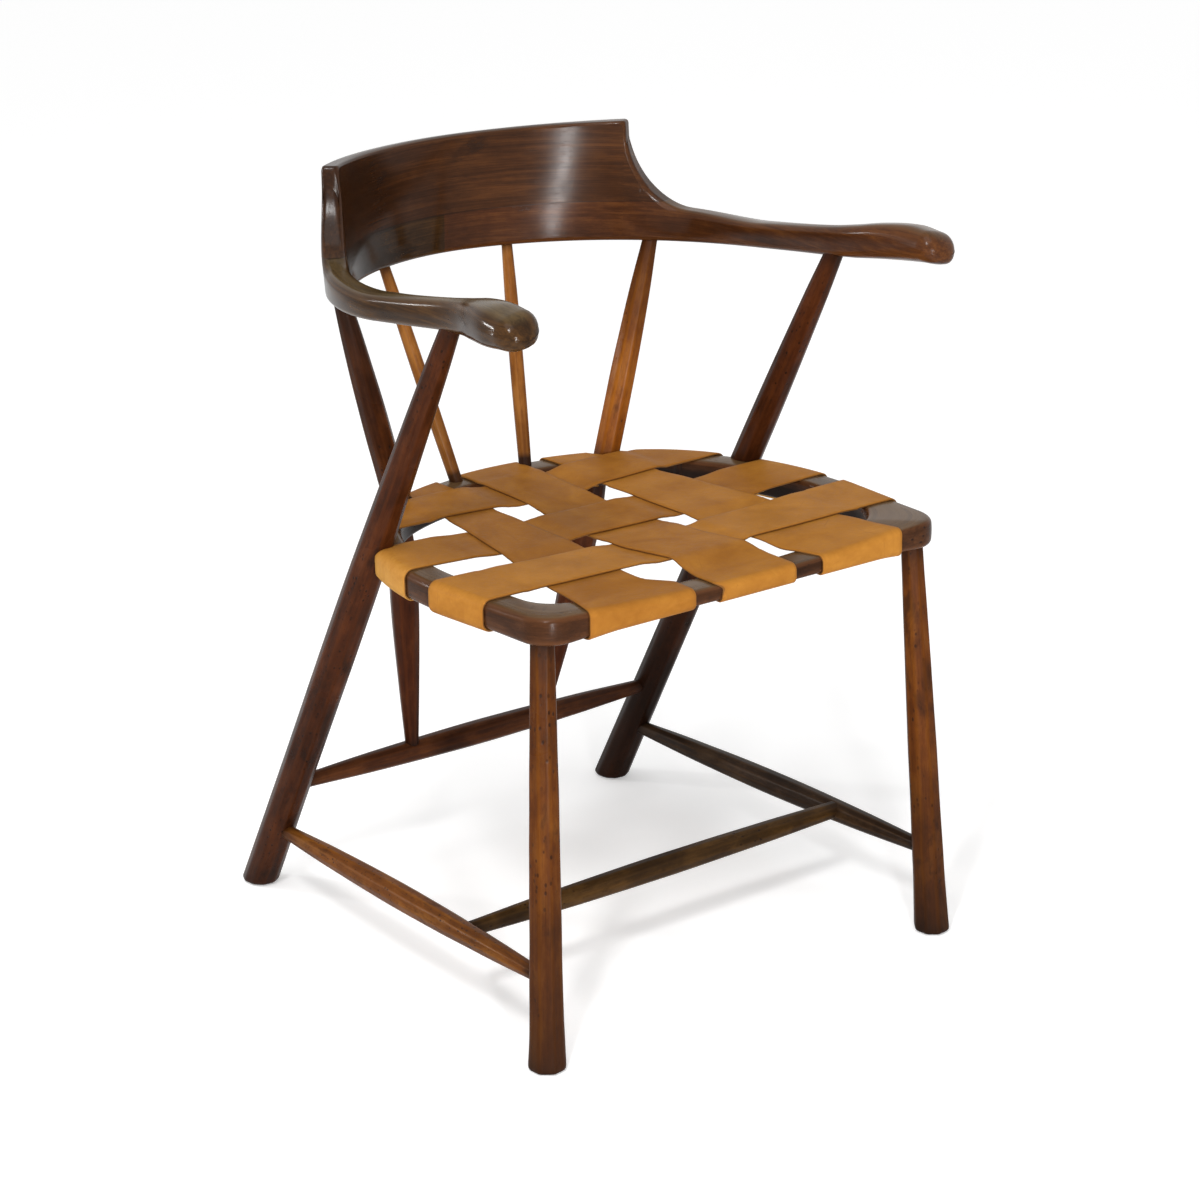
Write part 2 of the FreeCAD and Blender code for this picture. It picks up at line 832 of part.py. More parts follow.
def crest_runs():
    """Places of the crest's sections on one side, out to where its end has run out thin."""
    runs = []
    for run in bow_runs():
        base, heading = bow_inner(run)
        thin = frame_height(glue_frame, base.y) + size("crest_end_height")
        if sweep_height(run) > thin:
            runs.append(run)
    return runs


# Straps

REST = size("leather_gap") + size("leather") / 2
LAYER = size("leather") + size("leather_gap")
LEVELS = {"high": LAYER, "over": LAYER / 2, "rest": 0.0, "under": -LAYER / 2}


def smooth(share):
    share = max(0.0, min(1.0, share))
    return share * share * (3 - 2 * share)


def sag(x, depth):
    """How far the leather hangs below the rails over a point of the opening."""
    front = size("front_rail_width")
    rear = opening_rear(x)
    side = opening_side(depth)
    if not front < depth < rear or abs(x) >= side:
        return 0.0
    middle = (front + rear) / 2
    lengthwise = 1 - ((depth - middle) / (rear - middle)) ** 2
    crosswise = 1 - (x / side) ** 2
    return size("strap_sag") * lengthwise * crosswise


def side_edge(strap, side, share):
    """Depth of a point across a side strap's end: share 0 is its front edge, 1 its rear edge."""
    edges = EDGES[:2] if side < 0 else EDGES[2:]
    front = size("{}_{}".format(strap, edges[0]))
    rear = size("{}_{}".format(strap, edges[1]))
    return front + (rear - front) * share


def long_edge(strap, front, share):
    """X of a point across a long strap's end: share 0 is its right edge, 1 its left edge."""
    edges = EDGES[:2] if front else EDGES[2:]
    right = size("{}_{}".format(strap, edges[0]))
    left = size("{}_{}".format(strap, edges[1]))
    return right + (left - right) * share


def strap_plan(strap, share, place):
    """A point of a strap's plan: share across it, at a place along it."""
    if strap in SIDE_STRAPS:
        half = size("seat_half_width")
        right = side_edge(strap, -1, share)
        left = side_edge(strap, 1, share)
        return Vector(place, right + (left - right) * (place + half) / (2 * half), 0)
    front = long_edge(strap, True, share)
    rear = long_edge(strap, False, share)
    return Vector(front + (rear - front) * place / SEAT_DEPTH, place, 0)


def crossing(strap, other):
    """Where another strap crosses: the start and end along this strap's run."""
    low = []
    high = []
    for share in (0.0, 1.0):
        for edge, ends in ((0.0, low), (1.0, high)):
            place = 0.0
            for turn in range(3):
                point = strap_plan(strap, share, place)
                across = point.y if strap in SIDE_STRAPS else point.x
                met = strap_plan(other, edge, across)
                place = met.x if strap in SIDE_STRAPS else met.y
            ends.append(place)
    return min(low) - size("strap_margin"), max(high) + size("strap_margin")


def weave(strap):
    """Stops along a strap, each a place and the strap's level there above the rails."""
    sidewise = strap in SIDE_STRAPS
    others = LONG_STRAPS if sidewise else SIDE_STRAPS
    words = (SIDE_STRAPS if sidewise else LONG_STRAPS)[strap][4].split()
    stops = []
    for word, other in zip(words, others):
        low, high = crossing(strap, other)
        stops += [(low, LEVELS[word]), (high, LEVELS[word])]
    first = stops[0][0] - size("strap_ramp")
    last = stops[-1][0] + size("strap_ramp")
    if sidewise:
        first = max(first, -rail_rest(strap, -1))
        last = min(last, rail_rest(strap, 1))
    else:
        last = min(last, rear_rest(strap))
    return [(first, 0.0)] + stops + [(last, 0.0)]


def rail_rest(strap, end):
    """Distance from the middle at which a side strap lies on its rail all across."""
    reach = [abs(wrapped(strap, end, share, size("rail_rounding"), 0.0).x) for share in (0.0, 1.0)]
    return min(reach) - size("strap_margin")


def rear_rest(strap):
    """Depth at which a long strap has to lie on the back rail."""
    place = min(opening_rear(long_edge(strap, False, share)) for share in (0.0, 1.0))
    return max(place, crossing(strap, "strap_side_rear")[1] + 1.0)


def level(stops, place):
    for (start, before), (end, after) in zip(stops, stops[1:]):
        if start <= place <= end:
            return before + (after - before) * smooth((place - start) / (end - start))
    return 0.0


def strap_places(strap, stops):
    """Places of the sections of a strap between the rails' tops."""
    places = [stops[0][0]]
    for (start, before), (end, after) in zip(stops, stops[1:]):
        steps = max(1, math.ceil((end - start) / STRAP_STEP))
        if before != after:
            steps = max(RAMP_STEPS, steps)
        places += [start + (end - start) * number / steps for number in range(1, steps + 1)]
    return places


def wrapped(strap, end, share, inset, rise):
    """A point over or round the rail at a strap's end, inset from the rail's outer face."""
    if strap in SIDE_STRAPS:
        depth = side_edge(strap, end, share)
        for turn in range(2):
            x = outline_x(depth, -inset)
            depth = strap_plan(strap, share, end * x).y
        return Vector(end * x, depth, rise)
    if end < 0:
        x = long_edge(strap, True, share)
        return Vector(x, inset, rise)
    x = long_edge(strap, False, share)
    return Vector(x, outline_y(x, -inset), rise)


def wrap_section(strap, end, turn, upper):
    """Points across a wrap at a turn round the rail's upper or lower edge, 90 being level."""
    at_front = strap in LONG_STRAPS and end < 0
    rounding = size("front_rounding") if at_front else size("rail_rounding")
    turn = math.radians(turn)
    sheets = []
    for skin in (0.0, size("leather")):
        points = []
        for share in shares(strap):
            across = rounding + size("wrap_gap") + skin
            along_z = rounding + size("leather_gap") + skin
            inset = rounding - across * math.cos(turn)
            rise = along_z * math.sin(turn) - rounding
            if upper:
                hollow = dish(long_edge(strap, True, share)) if at_front else 0.0
                points.append(wrapped(strap, end, share, inset, rise - hollow))
            else:
                height = -size("rail_height") - rise
                points.append(wrapped(strap, end, share, inset, height))
        sheets.append(points)
    return sheets[0] + sheets[1][::-1]


def tuck_section(strap, end):
    """The cut end of a strap under the rail, square across from one edge to the other."""
    height = -size("rail_height") - size("leather_gap")
    inset = size("tack_inset") + size("tack_edge")
    first = wrapped(strap, end, 0.0, 0.0, 0.0)
    last = wrapped(strap, end, 1.0, 0.0, 0.0)
    inward = Vector(-end, 0, 0) if strap in SIDE_STRAPS else Vector(0, -end, 0)
    sheets = []
    for skin in (0.0, size("leather")):
        points = []
        for share in shares(strap):
            place = on_line(first, last, share) + inward * inset
            points.append(place + UP * (height - skin))
        sheets.append(points)
    return sheets[0] + sheets[1][::-1]


def shares(strap):
    count = SIDE_ACROSS if strap in SIDE_STRAPS else LONG_ACROSS
    return [number / (count - 1) for number in range(count)]


def span_section(strap, stops, place):
    sheets = []
    for skin in (-0.5, 0.5):
        points = []
        for share in shares(strap):
            point = strap_plan(strap, share, place)
            height = REST + level(stops, place) - sag(point.x, point.y)
            if strap in LONG_STRAPS:
                height -= dish(point.x) * (1 - smooth(front_share(stops, place)))
            points.append(point + UP * (height + skin * size("leather")))
        sheets.append(points)
    return sheets[0] + sheets[1][::-1]


def front_share(stops, place):
    """How far a long strap has risen from the hollowed front rail to the level of the weave."""
    start = size("front_rail_width") - size("inner_rounding")
    return (place - start) / (stops[1][0] - start)


def strap_form(strap):
    """A whole strap, from its tucked end on one rail over the weave to the other."""
    stops = weave(strap)
    sections = [tuck_section(strap, -1)]
    for upper in (False, True):
        turns = (0, 45, 90) if upper else (90, 45, 0)
        sections += [wrap_section(strap, -1, turn, upper) for turn in turns]
    if strap in LONG_STRAPS:
        start = size("front_rail_width") - size("inner_rounding")
        first = stops[1][0]
        for number in range(FRONT_RISE_STEPS):
            sections.append(span_section(strap, stops, start + (first - start) * number / FRONT_RISE_STEPS))
        places = [place for place in strap_places(strap, stops) if place >= first]
    else:
        places = strap_places(strap, stops)
    sections += [span_section(strap, stops, place) for place in places]
    for upper in (True, False):
        turns = (90, 45, 0) if upper else (0, 45, 90)
        sections += [wrap_section(strap, 1, turn, upper) for turn in turns]
    sections.append(tuck_section(strap, 1))
    return lofted(strap + "_form", sections, seat_frame)


# Axes of the sticks, on one side of the chair

def front_leg_axis(side):
    foot = Vector(side * size("front_foot_x"), size("front_foot_y"), 0)
    under = size("seat_top_z") - size("rail_height")
    top = Vector(side * size("front_top_x"), size("front_top_y"), under)
    return foot, meet(foot, top, seat_frame, -size("rail_height"))


def rear_leg_axis(side):
    foot = Vector(side * size("rear_foot_x"), size("rear_foot_y"), 0)
    middle = size("waist_inner_x") + size("waist_width") / 2
    return foot, Vector(side * middle, size("waist_y"), size("waist_bottom_z"))


def rear_leg_blank(name, side, extra=""):
    foot, top = rear_leg_axis(side)
    below = at_height(foot, top, -2 * size("rear_foot_radius"))
    shoulder = size("shoulder")
    end = shifted(top, foot, shoulder)
    return stick(name, below, end, REAR_LEG, LEG_SIDES, 0.0, shoulder + size("rear_leg_tenon"), extra)


def front_leg_blank(name, side):
    foot, top = front_leg_axis(side)
    below = at_height(foot, top, -size("front_foot_radius"))
    shoulder = size("shoulder")
    end = shifted(top, foot, shoulder)
    return stick(name, below, end, FRONT_LEG, LEG_SIDES, 0.0, shoulder + size("front_leg_tenon"))


def footed(name, leg, tools):
    """A leg with its holes, sawn off level at the floor and its foot's edge chamfered."""
    floor = block(name + "_floor", Vector(-400, -400, -100), Vector(400, 400, 0))
    sawn = cut(name + "_sawn", leg, tools + [floor])
    doc.recompute()
    edges = []
    for number, edge in enumerate(sawn.Shape.Edges, start=1):
        if edge.BoundBox.ZMax < 0.01:
            edges.append((number, size("foot_chamfer"), size("foot_chamfer")))
    foot = doc.addObject("Part::Chamfer", name + "_foot")
    foot.Base = sawn
    foot.Edges = edges
    return foot


# Stretchers and the holes they need

def side_stretcher_line(side):
    front = at_height(*front_leg_axis(side), size("side_stretcher_front_z"))
    rear = at_height(*rear_leg_axis(side), size("side_stretcher_rear_z"))
    front_mouth = shifted(front, rear, size("front_leg_low_radius"))
    rear_mouth = shifted(rear, front, size("rear_leg_low_radius"))
    return front_mouth, rear_mouth


def rear_stretcher_line():
    right = at_height(*rear_leg_axis(-1), size("rear_stretcher_z"))
    left = at_height(*rear_leg_axis(1), size("rear_stretcher_z"))
    radius = size("rear_leg_low_radius")
    return shifted(right, left, radius), shifted(left, right, radius)


def cross_stretcher_line():
    ends = []
    for side in (-1, 1):
        front, rear = side_stretcher_line(side)
        share = (size("cross_stretcher_y") - front.y) / (rear.y - front.y)
        ends.append(on_line(front, rear, share))
    radius = size("stretcher_mid_radius") - size("swell_fall")
    return shifted(ends[0], ends[1], radius), shifted(ends[1], ends[0], radius)


def strut_line(side):
    right, left = rear_stretcher_line()
    share = (side * size("strut_foot_x") - right.x) / (left.x - right.x)
    foot = on_line(right, left, share)
    under = size("seat_top_z") - size("rail_height")
    top = Vector(side * size("strut_top_x"), size("strut_top_y"), under)
    top = meet(foot, top, seat_frame, -size("rail_height"))
    return shifted(foot, top, size("stretcher_mid_radius") - size("swell_fall")), top


def post_line(side):
    top = bow_middle(size("post_top_run"), size("bow_under_z"))
    top = Vector(side * top.x, top.y, bow_under(top.y))
    foot = Vector(side * size("post_foot_x"), size("post_foot_y"), size("seat_top_z"))
    return meet(foot, top, seat_frame, 0.0), top


def spindle_line(side):
    top = bow_middle(size("spindle_top_run"), size("bow_under_z"))
    top = Vector(side * top.x, top.y, bow_under(top.y))
    foot = Vector(side * size("spindle_foot_x"), size("spindle_foot_y"), size("seat_top_z"))
    return meet(foot, top, seat_frame, 0.0), top


def peg_line(side):
    """The peg from inside the side rail, through it and into the long leg."""
    leg = meet(*rear_leg_axis(side), seat_frame, -size("rail_height") / 2)
    local = seat_frame.inverse().multVec(leg)
    centre, radius, start, end = ARCS[0]
    centre = Vector(side * centre.x, centre.y, local.z)
    out = (local - centre).normalize()
    inner = centre + out * (radius - size("rail_width") - size("peg_stand"))
    end = local - out * (size("rear_leg_upper_radius") - size("peg_depth"))
    return seat_frame.multVec(inner), seat_frame.multVec(end)


def dowel_lines():
    """A dowel across each of the four joints of the ring."""
    lines = []
    half = size("dowel_length") / 2
    middle_height = UP * (-size("rail_height") / 2)
    for side in (-1, 1):
        for stations, angle in ((front_stations(), 90.0 + size("side_taper_angle")),
                                (side_stations(), joint_angle())):
            outer, inner, share = stations[-1]
            middle = (outer + inner) * 0.5 + middle_height
            forth = outward(angle - 90.0) * half
            ends = (middle - forth, middle + forth)
            lines.append([seat_frame.multVec(Vector(side * end.x, end.y, end.z)) for end in ends])
    return lines


# Wooden sticks

dowel_pins = []
dowel_holes = []
for number, (start, end) in enumerate(dowel_lines()):
    dowel_pins.append(cylinder("dowel{}".format(number), "Sizes.dowel_radius", start, end))
    room = size("socket_room")
    dowel_holes.append(cylinder("dowel_hole{}".format(number), "Sizes.dowel_radius" + WITH_GAP,
                                shifted(start, end, -room), shifted(end, start, -room)))
keep(compound("rail_dowels", dowel_pins), "rail_dowels")

pegs = []
peg_holes = {}
strut_foot_holes = []
rail_holes = {"front": [], "back": []}
arm_holes = {}
cross_line = cross_stretcher_line()
rear_line = rear_stretcher_line()
stretcher_tenon = size("stretcher_tenon")
bow_tenon = size("bow_tenon")
for word, side in SIDES.items():
    own_hole = foot_hole if side < 0 else top_hole
    start, end = peg_line(side)
    pegs.append(cylinder("peg_" + word, "Sizes.peg_radius", start, end))
    peg_holes[word] = cylinder("peg_hole_" + word, "Sizes.peg_radius" + WITH_GAP, start,
                               shifted(end, start, -size("socket_room")))

    tag = "side_stretcher_" + word
    line = side_stretcher_line(side)
    blank = jointed_stick(tag + "_blank", line, STRETCHER, STICK_SIDES, stretcher_tenon, stretcher_tenon)
    cross_hole = own_hole("cross_hole_" + word, "cross_end_radius", STICK_SIDES, cross_line,
                          size("cross_tenon"))
    keep(cut(tag, blank, [cross_hole]), tag)
    front_hole = foot_hole(tag + "_front_hole", "stretcher_end_radius", STICK_SIDES, line,
                           stretcher_tenon)
    rear_hole = top_hole(tag + "_rear_hole", "stretcher_end_radius", STICK_SIDES, line,
                         stretcher_tenon)
    back_hole = own_hole("rear_stretcher_hole_" + word, "stretcher_end_radius", STICK_SIDES,
                         rear_line, stretcher_tenon)

    tag = "front_leg_" + word
    keep(footed(tag, front_leg_blank(tag + "_blank", side), [front_hole]), tag)
    rail_holes["front"].append(top_hole("front_leg_hole_" + word, "front_leg_top_radius", LEG_SIDES,
                                        front_leg_axis(side), size("front_leg_tenon")))

    tag = "rear_leg_" + word
    tools = [rear_hole, back_hole, peg_holes[word]]
    keep(footed(tag, rear_leg_blank(tag + "_blank", side), tools), tag)
    arm_holes[word] = [top_hole("rear_leg_hole_" + word, "rear_leg_top_radius", LEG_SIDES,
                                rear_leg_axis(side), size("rear_leg_tenon"))]

    line = strut_line(side)
    keep(jointed_stick("lower_strut_" + word, line, STRUT, STICK_SIDES, size("strut_foot_tenon"),
                       size("strut_tenon")), "lower_strut_" + word)
    strut_foot_holes.append(foot_hole("strut_foot_hole_" + word, "strut_foot_radius", STICK_SIDES,
                                      line, size("strut_foot_tenon")))
    rail_holes["back"].append(top_hole("strut_top_hole_" + word, "strut_top_radius", STICK_SIDES,
                                       line, size("strut_tenon")))

    line = post_line(side)
    keep(jointed_stick("back_post_" + word, line, POST, STICK_SIDES, size("post_tenon"), bow_tenon),
         "back_post_" + word)
    rail_holes["back"].append(foot_hole("post_foot_hole_" + word, "post_foot_radius", STICK_SIDES,
                                        line, size("post_tenon")))
    arm_holes[word].append(top_hole("post_top_hole_" + word, "post_top_radius", STICK_SIDES, line,
                                    bow_tenon))

    line = spindle_line(side)
    keep(jointed_stick("spindle_" + word, line, SPINDLE, SPINDLE_SIDES, size("spindle_tenon"),
                       bow_tenon), "spindle_" + word)
    rail_holes["back"].append(foot_hole("spindle_foot_hole_" + word, "spindle_end_radius",
                                        SPINDLE_SIDES, line, size("spindle_tenon")))
    arm_holes[word].append(top_hole("spindle_top_hole_" + word, "spindle_end_radius", SPINDLE_SIDES,
                                    line, bow_tenon))
keep(compound("leg_pegs", pegs), "leg_pegs")

keep(jointed_stick("cross_stretcher", cross_line, CROSS, STICK_SIDES, size("cross_tenon"),
                   size("cross_tenon")), "cross_stretcher")
blank = jointed_stick("rear_stretcher_blank", rear_line, STRETCHER, STICK_SIDES, stretcher_tenon,
                      stretcher_tenon)
keep(cut("rear_stretcher", blank, strut_foot_holes), "rear_stretcher")

# Tacks that hold the straps' ends, and the holes they sit in

TACK_SHARES = {"strap_side_front": "tack_share_front", "strap_side_rear": "tack_share_rear"}
tacks = []
tack_holes = {}
for strap in list(SIDE_STRAPS) + list(LONG_STRAPS):
    tack_holes[strap] = []
    for end in (-1, 1):
        low = UP * (-size("rail_height") - size("leather_gap") - size("leather"))
        spot = wrapped(strap, end, size(TACK_SHARES.get(strap, "tack_share_middle")), 0.0, 0.0)
        inward = Vector(-end, 0, 0) if strap in SIDE_STRAPS else Vector(0, -end, 0)
        spot = spot + inward * size("tack_inset") + low
        head = seat_frame.multVec(spot)
        point = seat_frame.multVec(spot + UP * size("tack_pin_length"))
        below = seat_frame.multVec(spot - UP * size("tack_head_height"))
        name = "{}_tack_{}".format(strap, "first" if end < 0 else "second")
        lead = shifted(head, point, -2 * size("socket_room"))
        disc = prism(name + "_head", "Sizes.tack_head_radius", TACK_SIDES, below, head)
        pin = prism(name + "_pin", "Sizes.tack_pin_radius", TACK_SIDES, below, point)
        tacks.append(fuse(name, [disc, pin]))
        tack_holes[strap].append(prism(name + "_hole", "Sizes.tack_pin_radius" + WITH_GAP,
                                       TACK_SIDES, lead, shifted(point, head, -size("socket_room"))))
keep(compound("strap_tacks", tacks), "strap_tacks")

# Ring of the seat: four rails with the holes for all that stands in them

front_half = front_stations()
sections = [(-1, front_half[:0:-1]), (1, front_half)]
tools = rail_holes["front"] + [dowel_holes[0], dowel_holes[2]]
tools += [tack_holes[strap][0] for strap in LONG_STRAPS] + tack_holes["strap_side_front"]
keep(cut("front_rail", rail_blank("front_rail_blank", sections), tools), "front_rail")
for word, side in SIDES.items():
    first = 0 if side < 0 else 2
    tools = [rear_leg_blank("leg_notch_" + word, side, WITH_GAP), peg_holes[word]]
    tools += dowel_holes[first:first + 2]
    own = 0 if side < 0 else 1
    tools += [tack_holes[strap][own] for strap in SIDE_STRAPS]
    blank = rail_blank("side_rail_blank_" + word, [(side, side_stations())])
    keep(cut("side_rail_" + word, blank, tools), "side_rail_" + word)
back_half = back_stations()
sections = [(-1, back_half), (1, back_half[-2::-1])]
tools = rail_holes["back"] + [dowel_holes[1], dowel_holes[3]]
tools += [tack_holes[strap][1] for strap in LONG_STRAPS] + tack_holes["strap_side_rear"]
keep(cut("back_rail", rail_blank("back_rail_blank", sections), tools), "back_rail")

# Arms and crest

above_glue = block("above_glue", Vector(-300, -290, 0), Vector(300, 80, 150), glue_frame)
for word, side in SIDES.items():
    blank = arm_blank("arm_blank_" + word, side)
    keep(cut("arm_" + word, blank, [above_glue] + arm_holes[word]), "arm_" + word)

half_runs = crest_runs()
sections = [crest_section(run, -1) for run in half_runs[:0:-1]]
sections += [crest_section(run, 1) for run in half_runs]
keep(lofted("crest", sections), "crest")

# Leather straps

strap_room = [rear_leg_blank("strap_room_" + word, side, " + Sizes.strap_leg_room")
              for word, side in SIDES.items()]
for strap in list(SIDE_STRAPS) + list(LONG_STRAPS):
    tools = list(tack_holes[strap])
    if strap == "strap_side_middle":
        tools += strap_room
    keep(cut(strap, strap_form(strap), tools), strap)

doc.recompute()

for obj in doc.Objects:
    for state in obj.State:
        if state in ("Invalid", "Error"):
            raise RuntimeError("{} did not build: {}".format(obj.Name, obj.State))
for label, obj in parts.items():
    if obj.Shape.isNull() or not obj.Shape.isValid() or not obj.Shape.Solids:
        raise RuntimeError("{} has no sound shape".format(label))

for label, obj in parts.items():
    obj.Shape.exportStep("parts/{}.step".format(label))
    print("{}: {} solids, {:.0f} mm3".format(label, len(obj.Shape.Solids), obj.Shape.Volume))
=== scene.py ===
import math
from collections import namedtuple

import bmesh
import bpy
from mathutils import Matrix, Vector, noise


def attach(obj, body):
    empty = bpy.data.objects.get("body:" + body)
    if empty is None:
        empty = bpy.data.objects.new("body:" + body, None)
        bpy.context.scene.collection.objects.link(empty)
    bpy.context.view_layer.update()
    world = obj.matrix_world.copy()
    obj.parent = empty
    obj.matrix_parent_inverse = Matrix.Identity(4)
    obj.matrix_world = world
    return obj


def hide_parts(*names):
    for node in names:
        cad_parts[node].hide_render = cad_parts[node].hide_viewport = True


# Captain's chair: smooth, hand-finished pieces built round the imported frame.
# Sizes here are millimetres, as in the chair's own drawing, and become metres in the meshes.

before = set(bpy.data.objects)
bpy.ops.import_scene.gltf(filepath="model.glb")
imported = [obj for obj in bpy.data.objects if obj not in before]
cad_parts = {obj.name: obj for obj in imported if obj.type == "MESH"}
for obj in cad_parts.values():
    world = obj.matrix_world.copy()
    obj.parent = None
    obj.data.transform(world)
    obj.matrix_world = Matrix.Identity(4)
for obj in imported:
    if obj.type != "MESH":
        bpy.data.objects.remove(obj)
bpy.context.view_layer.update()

MM = 0.001
UP = Vector((0, 0, 1))
SIDES = {"right": -1, "left": 1}
TOUCHING = 1e-6  # metres

# A point of a section: its place, its place in the piece's own grain, how worn it is, how much
# dirt, dark finish and painted shade it holds, and for leather how light the hide is.
Spot = namedtuple("Spot", "place grain wear grime tone", defaults=(None,))


def tilted(y, z, angle):
    """The plane through (0, y, z) that rises towards the front by an angle in degrees."""
    return Matrix.Translation((0, y, z)) @ Matrix.Rotation(-math.radians(angle), 4, "X")


def plane_height(plane, y):
    normal = plane.to_3x3() @ UP
    base = plane.translation
    return base.z - (y - base.y) * normal.y / normal.z


def facing(turn):
    """The level direction at a turn, in radians, from the rear towards the left."""
    return Vector((math.sin(turn), math.cos(turn), 0))


def on_line(start, end, share):
    return start + (end - start) * share


def at_height(start, end, height):
    return on_line(start, end, (height - start.z) / (end.z - start.z))


def shifted(point, other, distance):
    return point + (other - point).normalized() * distance


def meet(start, end, plane, height):
    """Where the line from start to end crosses a plane, at a height above it."""
    back = plane.inverted()
    first, last = back @ start, back @ end
    return on_line(start, end, (height - first.z) / (last.z - first.z))


def middle_of(points):
    return sum(points, Vector()) / len(points)


def smooth(share):
    share = max(0.0, min(1.0, share))
    return share * share * (3 - 2 * share)


def hermite(share):
    """Weights of a start, of the slope there, of an end and of the slope there."""
    rest = 1 - share
    return ((1 + 2 * share) * rest ** 2, share * rest ** 2, share * share * (3 - 2 * share),
            share * share * (share - 1))


def carried(stations, place):
    """A value carried smoothly through stations of (place, value)."""
    if place <= stations[0][0]:
        return stations[0][1]
    if place >= stations[-1][0]:
        return stations[-1][1]
    slopes = []
    for number in range(len(stations)):
        before = stations[max(number - 1, 0)]
        after = stations[min(number + 1, len(stations) - 1)]
        slopes.append((after[1] - before[1]) / (after[0] - before[0]))
    number = 0
    while place > stations[number + 1][0]:
        number += 1
    start, end = stations[number], stations[number + 1]
    step = end[0] - start[0]
    weights = hermite((place - start[0]) / step)
    value = weights[0] * start[1] + weights[1] * step * slopes[number]
    return value + (weights[2] * end[1] + weights[3] * step * slopes[number + 1])


# Shader nodes

def shade(red, green, blue):
    """A colour as it looks on a screen, turned into the light that it stands for."""
    light = []
    for part in (red, green, blue):
        part = part / 255
        light.append(part / 12.92 if part <= 0.04045 else ((part + 0.055) / 1.055) ** 2.4)
    return (*light, 1.0)


class Nodes:
    """A shader tree, and ways to add nodes whose sockets are given a value or linked."""

    def __init__(self, tree):
        self.tree = tree

    def put(self, node, sockets):
        for name, value in sockets.items():
            if isinstance(value, bpy.types.NodeSocket):
                self.tree.links.new(value, node.inputs[name])
            else:
                node.inputs[name].default_value = value
        return node

    def add(self, kind, sockets, **settings):
        node = self.tree.nodes.new("ShaderNode" + kind)
        for name, value in settings.items():
            setattr(node, name, value)
        return self.put(node, sockets).outputs

    def read(self, name, output="Fac"):
        return self.add("Attribute", {}, attribute_name=name)[output]

    def reckoned(self, operation, first, second, clamp=False):
        return self.add("Math", {0: first, 1: second}, operation=operation, use_clamp=clamp)[0]

    def times(self, first, second, clamp=False):
        return self.reckoned("MULTIPLY", first, second, clamp)

    def plus(self, total, *parts):
        for part in parts:
            total = self.reckoned("ADD", total, part)
        return total

    def minus(self, first, second):
        return self.reckoned("SUBTRACT", first, second)

    def swung(self, value, amount):
        """A value round 0.5 turned into one round nothing."""
        return self.times(self.minus(value, 0.5), amount)

    def ranged(self, value, low, high, first=0.0, last=1.0):
        """The value brought from low..high to first..last, smoothly and no further."""
        sockets = {"Value": value, "From Min": low, "From Max": high, "To Min": first, "To Max": last}
        return self.add("MapRange", sockets, interpolation_type="SMOOTHSTEP")["Result"]

    def mixed(self, share, first, second, way="MIX"):
        return self.add("Mix", {0: share, 6: first, 7: second}, data_type="RGBA", blend_type=way)[2]

    def ramped(self, value, *stops):
        """A colour from stops of (place, colour)."""
        node = self.tree.nodes.new("ShaderNodeValToRGB")
        elements = node.color_ramp.elements
        elements[0].position, elements[0].color = stops[0]
        elements[1].position, elements[1].color = stops[-1]
        for place, colour in stops[1:-1]:
            elements.new(place).color = colour
        return self.put(node, {0: value}).outputs["Color"]

    def stretched(self, vector, scale):
        return self.add("VectorMath", {0: vector, 1: scale}, operation="MULTIPLY")[0]

    def cloudy(self, vector, scale=1.0, detail=3.0, roughness=0.5, distortion=0.0):
        sockets = {"Vector": vector, "Scale": scale, "Detail": detail, "Roughness": roughness,
                   "Distortion": distortion}
        return self.add("TexNoise", sockets)["Fac"]

    def bumped(self, height, strength, distance):
        sockets = {"Height": height, "Strength": strength, "Distance": distance}
        return self.add("Bump", sockets)["Normal"]


def new_group(name, inputs, outputs):
    """A node group's nodes, input sockets and output node; an input without a value is a vector."""
    tree = bpy.data.node_groups.new(name, "ShaderNodeTree")
    for label, value in inputs.items():
        kind = "NodeSocketVector" if value is None else "NodeSocketFloat"
        socket = tree.interface.new_socket(label, in_out="INPUT", socket_type=kind)
        if value is not None:
            socket.default_value = value
    for label in outputs:
        tree.interface.new_socket(label, in_out="OUTPUT", socket_type="NodeSocketFloat")
    return Nodes(tree), tree.nodes.new("NodeGroupInput").outputs, tree.nodes.new("NodeGroupOutput")


def grain_group():
    """Streaks that follow the wood, its pores, and the ripple that they leave in the surface."""
    nodes, given, kept = new_group("Wood Grain", {"Grain": None, "Width": 90.0, "Length": 5.0},
                                   ["Figure", "Pores", "Height"])
    across = nodes.add("CombineXYZ", {"X": given["Width"], "Y": given["Width"], "Z": given["Length"]})[0]
    streaks = nodes.stretched(given["Grain"], across)
    wide = nodes.cloudy(streaks, detail=4.0, roughness=0.6, distortion=0.6)
    narrow = nodes.cloudy(nodes.stretched(streaks, (4.2, 4.2, 1.6)), roughness=0.55, distortion=0.2)
    figure = nodes.plus(nodes.times(wide, 0.68), nodes.times(narrow, 0.32))
    lines = nodes.cloudy(nodes.stretched(given["Grain"], (1500.0, 1500.0, 55.0)), detail=2.0, roughness=0.6)
    pores = nodes.ranged(lines, 0.56, 0.74)
    swell = nodes.cloudy(nodes.stretched(given["Grain"], (70.0, 70.0, 28.0)), detail=1.0, roughness=0.4)
    height = nodes.minus(nodes.times(swell, 0.5), nodes.times(pores, 0.12))
    height = nodes.plus(height, nodes.times(narrow, 0.05))
    nodes.put(kept, {"Figure": nodes.ranged(figure, 0.3, 0.7), "Pores": pores, "Height": height})
    return nodes.tree


